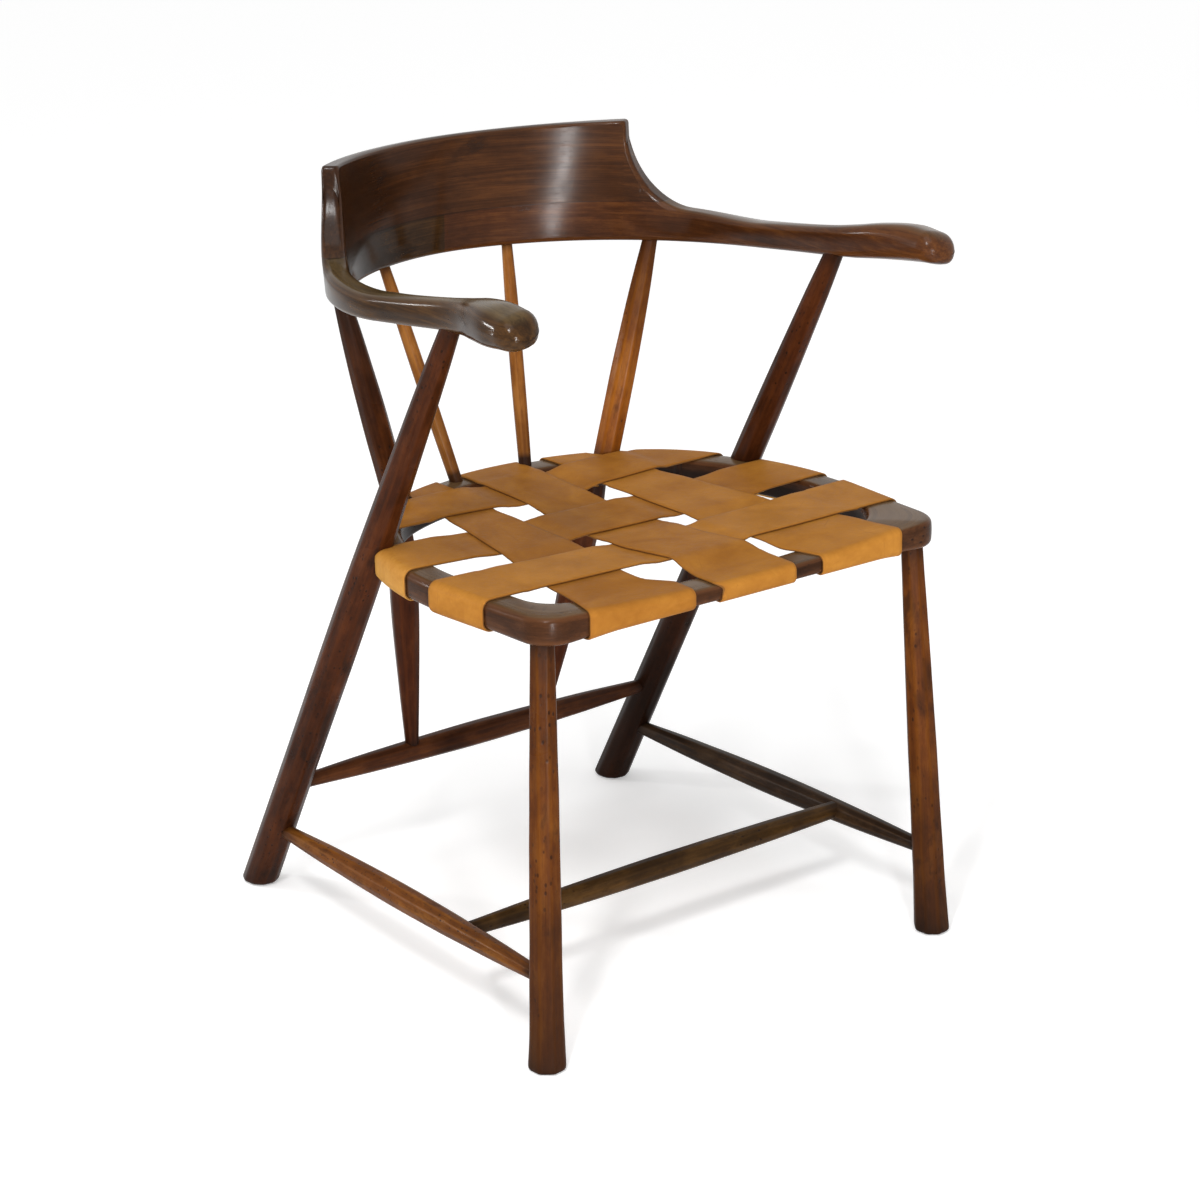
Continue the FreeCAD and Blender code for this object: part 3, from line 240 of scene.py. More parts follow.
def age_group():
    """Patches where the finish has gone dark or thin, small dark pits, and a broad change of tone."""
    nodes, given, kept = new_group("Old Finish", {"Grain": None, "Patches": 0.4, "Pit Size": 260.0,
                                                  "Pits": 0.3}, ["Patches", "Pits", "Tone"])
    drawn = nodes.stretched(given["Grain"], (1.0, 1.0, 0.45))
    clouds = nodes.cloudy(drawn, scale=30.0, detail=5.0, roughness=0.62, distortion=0.4)
    edge = nodes.minus(0.82, nodes.times(given["Patches"], 0.5))
    patches = nodes.ranged(clouds, edge, nodes.plus(edge, 0.12))
    dots = nodes.add("TexVoronoi", {"Vector": nodes.stretched(given["Grain"], (1.0, 1.0, 0.6)),
                                    "Scale": given["Pit Size"], "Randomness": 1.0})
    chosen = nodes.add("SeparateColor", {0: dots["Color"]})[0]
    pits = nodes.times(nodes.ranged(dots["Distance"], 0.34, 0.16),
                       nodes.reckoned("GREATER_THAN", given["Pits"], chosen))
    pits = nodes.times(pits, nodes.ranged(nodes.cloudy(drawn, scale=22.0, detail=2.0), 0.42, 0.62))
    nodes.put(kept, {"Patches": patches, "Pits": pits, "Tone": nodes.cloudy(drawn, scale=9.0, detail=2.0)})
    return nodes.tree


GRAIN = grain_group()
AGE = age_group()


# Finishes

def new_material(name):
    material = bpy.data.materials.new(name)
    material.use_nodes = True
    return material, Nodes(material.node_tree), material.node_tree.nodes["Principled BSDF"]


def wood_finish(name, deep, mid, light, dark=(26, 15, 10), worn=(118, 96, 74), width=90.0, length=5.0,
                patches=0.4, pits=0.0, pit_size=260.0, rubbed=0.35, dust_and_sheen=0.0, gloss=0.34, sheen=0.07,
                relief=0.5, mottle=0.6, shift=(0.0, 0.0, 0.0), whole=False):
    """Stained and varnished wood in three tones, with dark patches, pits and rubbed edges.

    whole takes the grain from the object's own place, for a piece without a grain of its own.
    """
    material, nodes, shader = new_material(name)
    deep, mid, light, dark, worn = (shade(*colour) for colour in (deep, mid, light, dark, worn))
    wood = nodes.add("TexCoord", {})["Object"] if whole else nodes.read("grain", "Vector")
    place = nodes.add("VectorMath", {0: wood, 1: shift}, operation="ADD")[0]
    grain = nodes.add("Group", {"Grain": place, "Width": width, "Length": length}, node_tree=GRAIN)
    age = nodes.add("Group", {"Grain": place, "Patches": patches, "Pits": pits, "Pit Size": pit_size},
                    node_tree=AGE)

    clouds = nodes.cloudy(nodes.stretched(place, (1.0, 1.0, 0.45)), scale=55.0, detail=5.0, roughness=0.65)
    clouds = nodes.ranged(clouds, 0.3, 0.7, 0.0, mottle)
    figure = nodes.plus(nodes.times(grain["Figure"], 1 - mottle), clouds)
    colour = nodes.ramped(figure, (0.0, deep), (0.5, mid), (1.0, light))
    colour = nodes.mixed(1.0, colour, nodes.ranged(age["Tone"], 0.3, 0.7, 0.72, 1.22), "MULTIPLY")
    colour = nodes.mixed(nodes.times(grain["Pores"], 0.45), colour, dark)
    colour = nodes.mixed(nodes.times(age["Patches"], 0.62), colour, dark)
    # Lighter on upward faces, in the worn colour: dust, and a painted sheen on the tops.
    if dust_and_sheen:
        upward = nodes.add("SeparateXYZ", {0: nodes.add("NewGeometry", {})["Normal"]})["Z"]
        top_dust_and_sheen = nodes.ranged(upward, 0.62, 1.0, 0.0, dust_and_sheen)
        top_dust_and_sheen = nodes.times(top_dust_and_sheen, nodes.ranged(age["Tone"], 0.25, 0.6, 0.5, 1.0))
        top_dust_and_sheen = nodes.times(top_dust_and_sheen, nodes.ranged(grain["Figure"], 0.0, 0.7, 0.6, 1.0))
        colour = nodes.mixed(top_dust_and_sheen, colour, worn)
    wear = nodes.times(nodes.read("wear"), rubbed)
    wear = nodes.times(wear, nodes.ranged(grain["Figure"], 0.1, 0.8, 0.4, 1.0))
    colour = nodes.mixed(wear, colour, light)
    # Darkened towards the dark colour by dirt, dark joints and glue, the bow's dark stretch, and painted
    # shade on the rails' inner faces.
    grime = nodes.read("grime")
    ragged = nodes.times(grime, nodes.ranged(age["Tone"], 0.3, 0.7, 1.1, 0.8), clamp=True)
    colour = nodes.mixed(ragged, colour, dark)
    colour = nodes.mixed(nodes.times(age["Pits"], 0.85), colour, dark)

    rough = nodes.plus(nodes.ranged(age["Tone"], 0.25, 0.75, gloss - 0.06, gloss + 0.1),
                       nodes.times(age["Patches"], 0.12), nodes.times(grime, 0.15))
    height = nodes.minus(grain["Height"], nodes.times(age["Pits"], 0.5))
    nodes.put(shader, {"Base Color": colour, "Roughness": rough, "Specular IOR Level": sheen,
                       "Normal": nodes.bumped(height, relief, 0.7 * MM)})
    return material


def leather_finish():
    """Saddle leather: smooth and tan on top, paler and rough beneath, dark where it was cut."""
    material, nodes, shader = new_material("strap_leather")
    hide = nodes.read("grain", "Vector")
    clouds = nodes.cloudy(hide, scale=26.0, detail=4.0, roughness=0.6, distortion=0.4)
    fine = nodes.cloudy(hide, scale=210.0, roughness=0.6)
    tone = nodes.plus(nodes.read("tone"), nodes.swung(clouds, 0.6), nodes.swung(fine, 0.2))
    colour = nodes.ramped(tone, (0.0, shade(110, 68, 24)), (0.35, shade(144, 92, 34)),
                          (0.65, shade(172, 116, 47)), (1.0, shade(206, 156, 80)))
    stains = nodes.cloudy(nodes.stretched(hide, (1.0, 0.5, 1.0)), scale=60.0, detail=5.0, roughness=0.7,
                          distortion=0.8)
    colour = nodes.mixed(nodes.ranged(stains, 0.6, 0.78, 0.0, 0.25), colour, shade(116, 70, 31))
    lines = nodes.add("TexVoronoi", {"Vector": nodes.stretched(hide, (1.0, 0.2, 1.0)), "Scale": 85.0},
                      feature="DISTANCE_TO_EDGE")["Distance"]
    scuffs = nodes.times(nodes.ranged(lines, 0.012, 0.0), nodes.ranged(clouds, 0.5, 0.62, 0.0, 0.3))
    colour = nodes.mixed(scuffs, colour, shade(112, 68, 32))
    edge = nodes.read("wear")
    # Painted shade in a band along the strap's edges; the thin dark line at the edge itself is the cut.
    shadow = nodes.ranged(nodes.plus(edge, nodes.swung(clouds, 0.3)), 0.6, 1.0, 0.0, 0.3)
    colour = nodes.mixed(shadow, colour, shade(124, 76, 32))
    colour = nodes.mixed(nodes.ranged(edge, 0.97, 1.0, 0.0, 0.6), colour, shade(92, 54, 22))
    underside = nodes.read("grime")
    colour = nodes.mixed(underside, colour, shade(112, 78, 44))
    rough = nodes.plus(nodes.ranged(fine, 0.3, 0.7, 0.42, 0.54), nodes.times(underside, 0.25))
    cells = nodes.add("TexVoronoi", {"Vector": hide, "Scale": 900.0})["Distance"]
    height = nodes.plus(nodes.times(cells, 0.35), nodes.times(fine, 0.9), nodes.times(clouds, 1.5))
    nodes.put(shader, {"Base Color": colour, "Roughness": rough, "Specular IOR Level": 0.035,
                       "Normal": nodes.bumped(height, 0.35, 0.6 * MM)})
    return material


def steel_finish():
    material, nodes, shader = new_material("tack_steel")
    rust = nodes.cloudy(nodes.read("grain", "Vector"), scale=420.0, detail=4.0, roughness=0.6)
    rust = nodes.ranged(rust, 0.45, 0.65)
    nodes.put(shader, {"Base Color": nodes.mixed(rust, shade(120, 116, 110), shade(72, 46, 32)),
                       "Roughness": nodes.ranged(rust, 0.0, 1.0, 0.35, 0.7),
                       "Metallic": nodes.ranged(rust, 0.0, 1.0, 0.9, 0.2),
                       "Normal": nodes.bumped(rust, 0.3, 0.3 * MM)})
    return material


# Meshes

def grown(sections, form=None):
    """A skin through sections of spots that match one another, closed by its end sections."""
    form = form or bmesh.new()
    layers = form.verts.layers
    grain = layers.float_vector.get("grain") or layers.float_vector.new("grain")
    marks = {}
    for label in ("wear", "grime", "tone"):
        if getattr(sections[0][0], label) is not None:
            marks[label] = layers.float.get(label) or layers.float.new(label)
    rings = []
    for section in sections:
        ring = []
        for spot in section:
            corner = form.verts.new(spot.place * MM)
            corner[grain] = spot.grain * MM
            for label, layer in marks.items():
                corner[layer] = getattr(spot, label)
            ring.append(corner)
        rings.append(ring)
    for before, after in zip(rings, rings[1:]):
        for number in range(len(before)):
            following = (number + 1) % len(before)
            form.faces.new((before[number], before[following], after[following], after[number]))
    form.faces.new(rings[0][::-1])
    form.faces.new(rings[-1])
    return form


def finished(form, name, material, sharp=42.0):
    """The mesh as a piece of the chair that stands for the frame's node of the same name."""
    bmesh.ops.recalc_face_normals(form, faces=form.faces)
    mesh = bpy.data.meshes.new(name + "_mesh")
    form.to_mesh(mesh)
    form.free()
    mesh.shade_smooth()
    mesh.set_sharp_from_angle(angle=math.radians(sharp))
    mesh.materials.append(material)
    piece = bpy.data.objects.new(name + "_piece", mesh)
    bpy.context.scene.collection.objects.link(piece)
    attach(piece, "root")
    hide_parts(name)
    return piece


# Sticks, shaved in long flats

STICK_STEP = 6.0
FOOT_LEVEL = 90.0
FOOT_ROUNDING = 4.5
FOOT_SHARES = (0.0, 0.04, 0.13, 0.3, 0.6, 1.0)
HIDDEN_END = 5.0
RIDGE_SOFTNESS = 0.012
STROKE_LENGTH = 55.0
STROKE_CHANGE = 0.7
FLATS_APART = 7.3
STICKS_APART = 37.0


def shaved(angle, flats, depth):
    """Radius at an angle round a stick, as a share, with worn ridges between its flats."""
    step = 2 * math.pi / flats
    reach = (1 - depth) / math.cos(angle % step - step / 2)
    share = max(RIDGE_SOFTNESS - abs(1.0 - reach), 0.0) / RIDGE_SOFTNESS
    return min(1.0, reach) - share * share * RIDGE_SOFTNESS / 4


def stick(name, line, stations, material, grime, seed, depth, flats=8, turn=0.0, sides=64,
          footed=False):
    """A stick between two mouths, or from the floor, thick and dark by shares of its length.

    Each flat is cut a little deeper or shallower along its length, by seed.
    """
    foot, top = line
    axis = (top - foot).normalized()
    length = (top - foot).length
    start = Vector((1, 0, 0)) if abs(axis.x) < 0.9 else Vector((0, 1, 0))
    first = (start - axis * start.dot(axis)).normalized()
    second = axis.cross(first)
    radii = [(share * length, radius) for share, radius in stations]
    low = 0.0 if footed else -HIDDEN_END
    run = length + HIDDEN_END - low
    count = math.ceil(run / STICK_STEP)
    places = [low + run * number / count for number in range(count + 1)]
    if footed:
        places[:1] = [FOOT_ROUNDING * share for share in FOOT_SHARES]
    sections = []
    for place in places:
        radius = carried(radii, place)
        if footed and place < FOOT_ROUNDING:
            share = 1 - place / FOOT_ROUNDING
            radius -= FOOT_ROUNDING * (1 - math.sqrt(1 - share * share))
        dirt_and_shade = carried(grime, place / length)
        level = 1 - smooth(place / FOOT_LEVEL) if footed else 0.0
        section = []
        for number in range(sides):
            angle = 2 * math.pi * number / sides
            flat = math.floor((angle + turn) / (2 * math.pi / flats))
            hand = noise.noise(Vector((flat * FLATS_APART + seed, place / STROKE_LENGTH, seed)))
            share = shaved(angle + turn, flats, depth * (1 + STROKE_CHANGE * hand))
            reach = radius * share
            ridge = smooth((share - 1 + depth * 0.5) / (depth * 0.5))
            side = first * math.cos(angle) + second * math.sin(angle)
            point = foot + axis * place + side * reach
            if level:
                point -= axis * (side.z * reach / axis.z) * level
            grain = Vector((math.cos(angle) * reach, math.sin(angle) * reach, place + seed * STICKS_APART))
            section.append(Spot(point, grain, ridge, dirt_and_shade))
        sections.append(section)
    return finished(grown(sections), name, material)


# Plan and heights of the bow

BOW_BACK_Y = 222.3
BOW_ARCS = ((160.0, math.radians(11.5)), (212.0, math.radians(68.0)), (490.0, math.radians(10.5)))
BOW_MIDDLE_Y = 30.0
BOW_BACK_WIDTH = 20.0
BOW_SIDE_WIDTH = 25.5
BOW_SIDE_RUN = 160.0
BOW_UNDER_Y = 210.3
BOW_UNDER_Z = 605.0
BOW_UNDER_SLOPE = 0.05
BOW_UNDER_CURVE = 0.00014
BOW_BOTTOM_ROUNDING = 5.0
GLUE = tilted(239.3, 642.0, 3.49)
GLUE_GROOVE = 1.0
GLUE_GRIME = 0.75
CREST_TOP = tilted(230.3, 716.5, 4.9)
CREST_THICKNESS = 13.0
CREST_END_SWELL = 3.0
CREST_END_LEAN = 13.0
CREST_END_RUN = 180.0
CREST_END_MARGIN = 3.0
CREST_ROUNDING = 3.2
CROWN = 0.5
CROWN_FADE_LEAD = 80.0
CROWN_FADE = 70.0
END_CORNER = 4.5
END_ROUNDING = 5.0
SWEEP_LENGTH = 62.0
SWEEP_HEIGHT = 78.0
SWEEP_BOTTOM_Z = 643.0
SWEEP_ROUNDING = 4.5
SWEEP_LEAD = 6.0
STEEP_ROUNDING = 0.3
ELBOW_ROUNDING = 7.0

ARM_STATIONS = (
    # y, inner x, width, bottom z, bottom droop, top z, top droop, rounding
    (5.3, 204.6, 26.5, 621.2, 0.0, 645.5, 0.5, 7.0),
    (-42.7, 206.0, 23.0, 626.8, 0.0, 652.5, 0.5, 7.5),
    (-94.7, 205.2, 21.5, 633.4, 0.5, 661.0, 0.5, 7.5),
    (-124.7, 205.6, 25.0, 637.5, 2.0, 667.5, 1.5, 8.5),
    (-154.7, 207.5, 33.5, 643.0, 5.5, 674.5, 3.0, 10.0),
    (-184.7, 210.0, 40.5, 648.0, 9.5, 679.5, 6.0, 12.5),
    (-207.7, 211.5, 41.0, 650.5, 9.5, 680.0, 9.5, 13.0),
)
ELBOW_Y = ARM_STATIONS[0][0]
NOSE_Y = ARM_STATIONS[-1][0]
ARM_TIP_Y = -228.7
ARM_TIP_DROP = 5.0
TIP_TURN = 80.0
TIP_LAST_TURN = 88.0

# Sections along the bow: even over the back, close round the crest's end, closer at its edge.
BACK_SECTIONS = 50
END_LEAD = 5.0
END_STEP = 0.5
END_SECTIONS = 20
EDGE_STEPS = (0.0, 0.3, 0.9)
SWEEP_SECTIONS = range(5, 31)
ELBOW_SECTIONS = 22
ELBOW_GAP = 86.0
SLOPE_STEP = 2.0
ARM_SECTIONS = 60
TIP_SECTIONS = 22

# Points round a section
ROUND_STEPS = 7
CROWN_STEPS = 4
TOP_STEPS = 14

# The right arm's dark stretch, by its run from the middle of the back
DARK_SHARE = 0.45
DARK_START, DARK_RISE = 30.0, 110.0
DARK_STOP, DARK_FALL = 240.0, 60.0


def bow_inner(run):
    """Point and heading of the inner edge after a run along it from the middle of the back."""
    point = Vector((0, BOW_BACK_Y, 0))
    heading = 0.0
    for radius, turn in BOW_ARCS:
        part = min(run / radius, turn)
        centre = point - facing(heading) * radius
        heading += part
        point = centre + facing(heading) * radius
        run -= part * radius
        if run <= 0:
            break
    return point, heading


def bow_width(run):
    return BOW_BACK_WIDTH + (BOW_SIDE_WIDTH - BOW_BACK_WIDTH) * min(run / BOW_SIDE_RUN, 1.0) ** 2


def bow_under(y):
    forward = BOW_UNDER_Y - y
    return BOW_UNDER_Z + BOW_UNDER_SLOPE * forward + BOW_UNDER_CURVE * forward ** 2


def wall_point(run, height, outer):
    """A point of the back's inner or outer face, which the bow and the crest share."""
    base, heading = bow_inner(run)
    low = bow_under(base.y)
    share = (height - low) / (plane_height(CREST_TOP, base.y) - low)
    far = (run / CREST_END_RUN) ** 2
    low_offset = bow_width(run) if outer else 0.0
    top_offset = CREST_END_LEAN * far + (CREST_THICKNESS + CREST_END_SWELL * far if outer else 0.0)
    offset = low_offset + (top_offset - low_offset) * share
    return Vector((base.x, base.y, height)) + facing(heading) * offset


def sweep_height(run):
    """Height of the hollow sweep from the crest's end down to the arm; before it there is none."""
    if run < CREST_END_RUN:
        return math.inf
    share = max((CREST_END_RUN + SWEEP_LENGTH - run) / SWEEP_LENGTH, 0.0)
    return SWEEP_BOTTOM_Z + SWEEP_HEIGHT * (1 - math.sqrt(1 - share ** 2))


def back_top(run):
    """Height of the back's upper edge, its corner at the sweep rounded over."""
    crest = plane_height(CREST_TOP, bow_inner(run)[0].y)
    along = min(max(run - CREST_END_RUN + END_CORNER, 0.0), END_CORNER)
    crest -= END_CORNER - math.sqrt(END_CORNER ** 2 - along ** 2)
    return min(crest, sweep_height(run))


def back_section(run):
    """Corners of a section of the back, from the inner lower one round, and their roundings."""
    low = bow_under(bow_inner(run)[0].y)
    top = back_top(run)
    corners = [wall_point(run, height, outer)
               for height, outer in ((low, False), (low, True), (top, True), (top, False))]
    far = smooth((run - CREST_END_RUN) / SWEEP_LENGTH)
    swept = smooth((run - CREST_END_RUN + SWEEP_LEAD) / (2 * SWEEP_LEAD))
    upper = CREST_ROUNDING + (SWEEP_ROUNDING - CREST_ROUNDING) * swept
    upper += (ELBOW_ROUNDING - SWEEP_ROUNDING) * far
    fall = max(back_top(run) - back_top(run + 1.0), 0.0)
    upper *= STEEP_ROUNDING + (1 - STEEP_ROUNDING) / math.sqrt(1 + fall * fall)
    return corners, [BOW_BOTTOM_ROUNDING, BOW_BOTTOM_ROUNDING, upper, upper]


def end_rounding(corners, run):
    """Rounds the crest's upright end, where the top falls away too steeply for its own rounding."""
    outer, inner = corners[2].xy, corners[3].xy

    def settle(point):
        away = min((point.xy - outer).length, (point.xy - inner).length, END_ROUNDING)
        short = END_ROUNDING - math.sqrt(END_ROUNDING ** 2 - (END_ROUNDING - away) ** 2)
        lower = point.z - back_top(run) + back_top(run + short)
        share = (point.xy - inner).dot(outer - inner) / (outer - inner).length_squared
        moves = [wall_point(run, lower, face) - wall_point(run, point.z, face) for face in (False, True)]
        return point + on_line(moves[0], moves[1], min(max(share, 0.0), 1.0))

    return settle


def arm_section(y, place=None, shrink=1.0, drop=0.0):
    """Corners of a carved section of the arm, put at a place and drawn together, and their roundings."""
    inner, width, bottom, bottom_droop, top, top_droop, rounding = (
        carried([(-row[0], row[column]) for row in ARM_STATIONS], -y) for column in range(1, 8))
    outer = inner + width
    place = y if place is None else place
    corners = [Vector(corner) for corner in ((inner, place, bottom), (outer, place, bottom - bottom_droop),
                                             (outer, place, top - top_droop), (inner, place, top))]
    middle = (corners[0] + corners[1] + corners[2] + corners[3]) * 0.25
    corners = [on_line(middle, corner, shrink) - UP * drop for corner in corners]
    return corners, [rounding * shrink] * 4


def rounded(corners, radii, crown, settle=None):
    """Points round an outline with rounded corners and slightly full sides, and their wear.

    settle moves a point of the two upper corners, or of the side between them.
    """
    count = len(corners)
    centre = middle_of(corners)
    arcs = []
    for number, radius in enumerate(radii):
        corner = corners[number]
        before = (corners[number - 1] - corner).normalized()
        after = (corners[(number + 1) % count] - corner).normalized()
        half = before.angle(after) / 2
        middle = corner + (before + after).normalized() * (radius / math.sin(half))
        start = corner + before * (radius / math.tan(half)) - middle
        end = corner + after * (radius / math.tan(half)) - middle
        turn = start.angle(end)
        arc = []
        for step in range(ROUND_STEPS + 1):
            share = step / ROUND_STEPS
            way = start * math.sin((1 - share) * turn) + end * math.sin(share * turn)
            point = middle + way / math.sin(turn)
            arc.append((settle(point) if settle and number > 1 else point, math.sin(share * math.pi)))
        arcs.append(arc)
    points = []
    for number, arc in enumerate(arcs):
        points += arc
        last = arc[-1][0]
        following = arcs[(number + 1) % count][0][0]
        edge = (following - last).normalized()
        out = (last + following) / 2 - centre
        out -= edge * out.dot(edge)
        out.normalize()
        on_top = number == 2
        steps = TOP_STEPS if on_top else CROWN_STEPS
        for step in range(1, steps):
            share = (1 - math.cos(math.pi * step / steps)) / 2 if on_top else step / steps
            point = on_line(last, following, share) + out * (crown * (1 - (2 * share - 1) ** 2))
            points.append((settle(point) if settle and on_top else point, 0.0))
    return points


def spotted(outline, run, side, grime=0.0):
    """The outline's points as spots, with their place in wood that runs along the piece."""
    centre = middle_of([point for point, wear in outline])
    outward_way = Vector((centre.x, centre.y - BOW_MIDDLE_Y, 0))
    spots = []
    for point, wear in outline:
        off = point - centre
        across = -off.xy.length if off.dot(outward_way) < 0 else off.xy.length
        spots.append(Spot(point, Vector((across, point.z, side * run)), wear, grime))
    return spots


def elbow_section(end, share):
    """A section between the back's end and the arm's start, which keeps the slopes that these have."""
    back, before_back = back_section(end), back_section(end - SLOPE_STEP)
    arm, past_arm = arm_section(ELBOW_Y), arm_section(ELBOW_Y - SLOPE_STEP)
    weights = hermite(share)
    leaving = weights[1] * ELBOW_GAP / SLOPE_STEP
    arriving = weights[3] * ELBOW_GAP / SLOPE_STEP
    corners = []
    for start, before, finish, after in zip(back[0], before_back[0], arm[0], past_arm[0]):
        corners.append(start * weights[0] + (start - before) * leaving + finish * weights[2]
                       + (after - finish) * arriving)
    return corners, [on_line(start, finish, smooth(share)) for start, finish in zip(back[1], arm[1])]


def bow_stations():
    """Sections of the bow's one side, each with its run, from the middle of the back to the tip."""
    near_end = CREST_END_RUN - END_ROUNDING - END_LEAD
    runs = [near_end * number / BACK_SECTIONS for number in range(BACK_SECTIONS)]
    runs += [near_end + END_STEP * number for number in range(END_SECTIONS)]
    runs += [CREST_END_RUN + step for step in EDGE_STEPS]
    for number in SWEEP_SECTIONS:
        turn = math.pi / 2 * number / SWEEP_SECTIONS[-1]
        runs.append(CREST_END_RUN + SWEEP_LENGTH * (1 - math.cos(turn)))
    end = CREST_END_RUN + SWEEP_LENGTH
    elbow_run = end + ELBOW_GAP
    stations = [(back_section(run), run) for run in runs]
    for number in range(1, ELBOW_SECTIONS):
        share = number / ELBOW_SECTIONS
        stations.append((elbow_section(end, share), end + ELBOW_GAP * share))
    for number in range(ARM_SECTIONS + 1):
        y = ELBOW_Y + (NOSE_Y - ELBOW_Y) * number / ARM_SECTIONS
        stations.append((arm_section(y), elbow_run + ELBOW_Y - y))
    reach = (NOSE_Y - ARM_TIP_Y) / math.sin(math.radians(TIP_TURN))
    for number in range(1, TIP_SECTIONS + 1):
        turn = math.radians(TIP_LAST_TURN) * number / TIP_SECTIONS
        forward = reach * math.sin(turn)
        section = arm_section(NOSE_Y, NOSE_Y - forward, math.cos(turn), ARM_TIP_DROP * math.sin(turn) ** 2)
        stations.append((section, elbow_run + ELBOW_Y - NOSE_Y + forward))
    return stations


def bow_form():
    """The whole bow with its crest, from the tip of the right arm round to that of the left."""
    right, left = [], []
    for (corners, radii), run in bow_stations():
        past = run - CREST_END_RUN
        settle = end_rounding(corners, run) if past < SWEEP_LENGTH else None
        flat = smooth((past + CROWN_FADE_LEAD) / CROWN_FADE)
        flat *= 1 - smooth((past - SWEEP_LENGTH) / CROWN_FADE)
        outline = rounded(corners, radii, CROWN * (1 - flat), settle)
        left.append(spotted(outline, run, 1))
        dark = DARK_SHARE * smooth((run - DARK_START) / DARK_RISE) * smooth((DARK_STOP - run) / DARK_FALL)
        mirrored = [(Vector((-point.x, point.y, point.z)), wear) for point, wear in outline]
        right.append(spotted(mirrored, run, -1, dark))
    return grown(right[:0:-1] + left)


CREST_END_Y = bow_inner(CREST_END_RUN + SWEEP_LENGTH)[0].y - CREST_END_MARGIN


def cut_bow(form):
    """New edges where the crest stands on the bow, with dark glue in the joint."""
    normal = (GLUE.to_3x3() @ UP).normalized()
    base = GLUE.translation * MM
    groove = GLUE_GROOVE * MM
    for shift in (-groove, groove, 0.0):
        faces = [face for face in form.faces if face.calc_center_median().y > CREST_END_Y * MM]
        edges = list({edge for face in faces for edge in face.edges})
        corners = list({corner for face in faces for corner in face.verts})
        bmesh.ops.bisect_plane(form, geom=faces + edges + corners, dist=TOUCHING / 10,
                               plane_co=base + normal * shift, plane_no=normal)
    grime = form.verts.layers.float["grime"]
    for corner in form.verts:
        if corner.co.y > CREST_END_Y * MM and abs((corner.co - base).dot(normal)) < TOUCHING:
            corner[grime] = GLUE_GRIME
    return base, normal


def bow_pieces(**finishes):
    """The two arms and the crest, cut out of the whole bow."""
    form = bow_form()
    base, normal = cut_bow(form)

    def owner(face):
        middle = face.calc_center_median()
        if middle.y > CREST_END_Y * MM and (middle - base).dot(normal) > 0:
            return "crest"
        return "arm_right" if middle.x < 0 else "arm_left"

    for name, finish in finishes.items():
        own = form.copy()
        bmesh.ops.delete(own, geom=[face for face in own.faces if owner(face) != name], context="FACES")
        rim = [edge for edge in own.edges if edge.is_boundary]
        if name != "crest":
            ends = []
            for corner in {corner for edge in rim for corner in edge.verts}:
                if abs(corner.co.x) < TOUCHING and abs((corner.co - base).dot(normal)) < TOUCHING:
                    ends.append(corner)
            rim.append(own.edges.new(ends))
        bmesh.ops.holes_fill(own, edges=rim, sides=0)
        finished(own, name, finish, sharp=50.0)
    form.free()


# Plan of the seat ring, in its own plane: X across, Y the depth behind the front face

SEAT_TOP_Z = 413.5
SEAT = tilted(-240.7, SEAT_TOP_Z, 1.49)
RAIL_HEIGHT = 25.5
RAIL_WIDTH = 32.0
FRONT_RAIL_WIDTH = 33.0
SEAT_HALF_WIDTH = 240.0
SEAT_WIDEST_DEPTH = 156.0
SIDE_RADIUS = 310.0
SIDE_TURN = 28.0
SHOULDER_RADIUS = 160.0
SHOULDER_TURN = 32.0
SIDE_TAPER = 5.0
TAPER = math.radians(SIDE_TAPER)
CORNER_RADIUS = 29.0
OPENING_CORNER_RADIUS = {-1: 34.0, 1: 74.0}
OUTER_CORNER_START = 0.25
RAIL_ROUNDING = 7.0
FRONT_ROUNDING = 4.5
INNER_ROUNDING = 5.0
RAIL_CROWN = 0.3
FRONT_DISH = 8.5
FRONT_DISH_HALF_WIDTH = 190.0
FRONT_ARCH = 3.0
FRONT_ARCH_HALF_WIDTH = 205.0
FRONT_ARCH_RISE = 60.0
FRONT_JOINT_DEPTH = 115.0
BACK_JOINT_ANGLE = 52.0
JOINT_GROOVE = 0.35
JOINT_GRIME = 0.8
JOINT_SPACE = 0.3
WOBBLE = 0.35
WOBBLE_LENGTH = 42.0

# How many sections each stretch of the ring has
STRAIGHT_STEPS = 30
CORNER_STEPS = 32
JOINT_STEPS = 6
TAPER_STEPS = 3
SIDE_STEPS = 30
SHOULDER_FRONT_STEPS = 8
SHOULDER_REAR_STEPS = 14
BACK_STEPS = 30

# Painted shade on the inner face, by the share across the rail and the depth below its top
INSIDE_START, INSIDE_RISE = 0.88, 0.1
BELOW_START, BELOW_RISE = 5.0, 8.0

Arc = namedtuple("Arc", "centre radius start end")


def outward(angle):
    return facing(math.radians(angle))


def ring_arcs():
    """The left half's arcs, with the outward angles at both ends in degrees, front to back."""
    first = 90.0 - SIDE_TURN
    second = first - SHOULDER_TURN
    side_centre = Vector((SEAT_HALF_WIDTH - SIDE_RADIUS, SEAT_WIDEST_DEPTH, 0))
    shoulder_centre = side_centre + outward(first) * (SIDE_RADIUS - SHOULDER_RADIUS)
    meeting = shoulder_centre + outward(second) * SHOULDER_RADIUS
    back_radius = meeting.x / math.sin(math.radians(second))
    back_centre = meeting - outward(second) * back_radius
    return (Arc(side_centre, SIDE_RADIUS, 90.0 + SIDE_TAPER, first),
            Arc(shoulder_centre, SHOULDER_RADIUS, first, second),
            Arc(back_centre, back_radius, second, 0.0))


SIDE_ARC, SHOULDER_ARC, BACK_ARC = ring_arcs()
SEAT_DEPTH = BACK_ARC.centre.y + BACK_ARC.radius


def arc_point(arc, angle, grow):
    return arc.centre + outward(angle) * (arc.radius + grow)


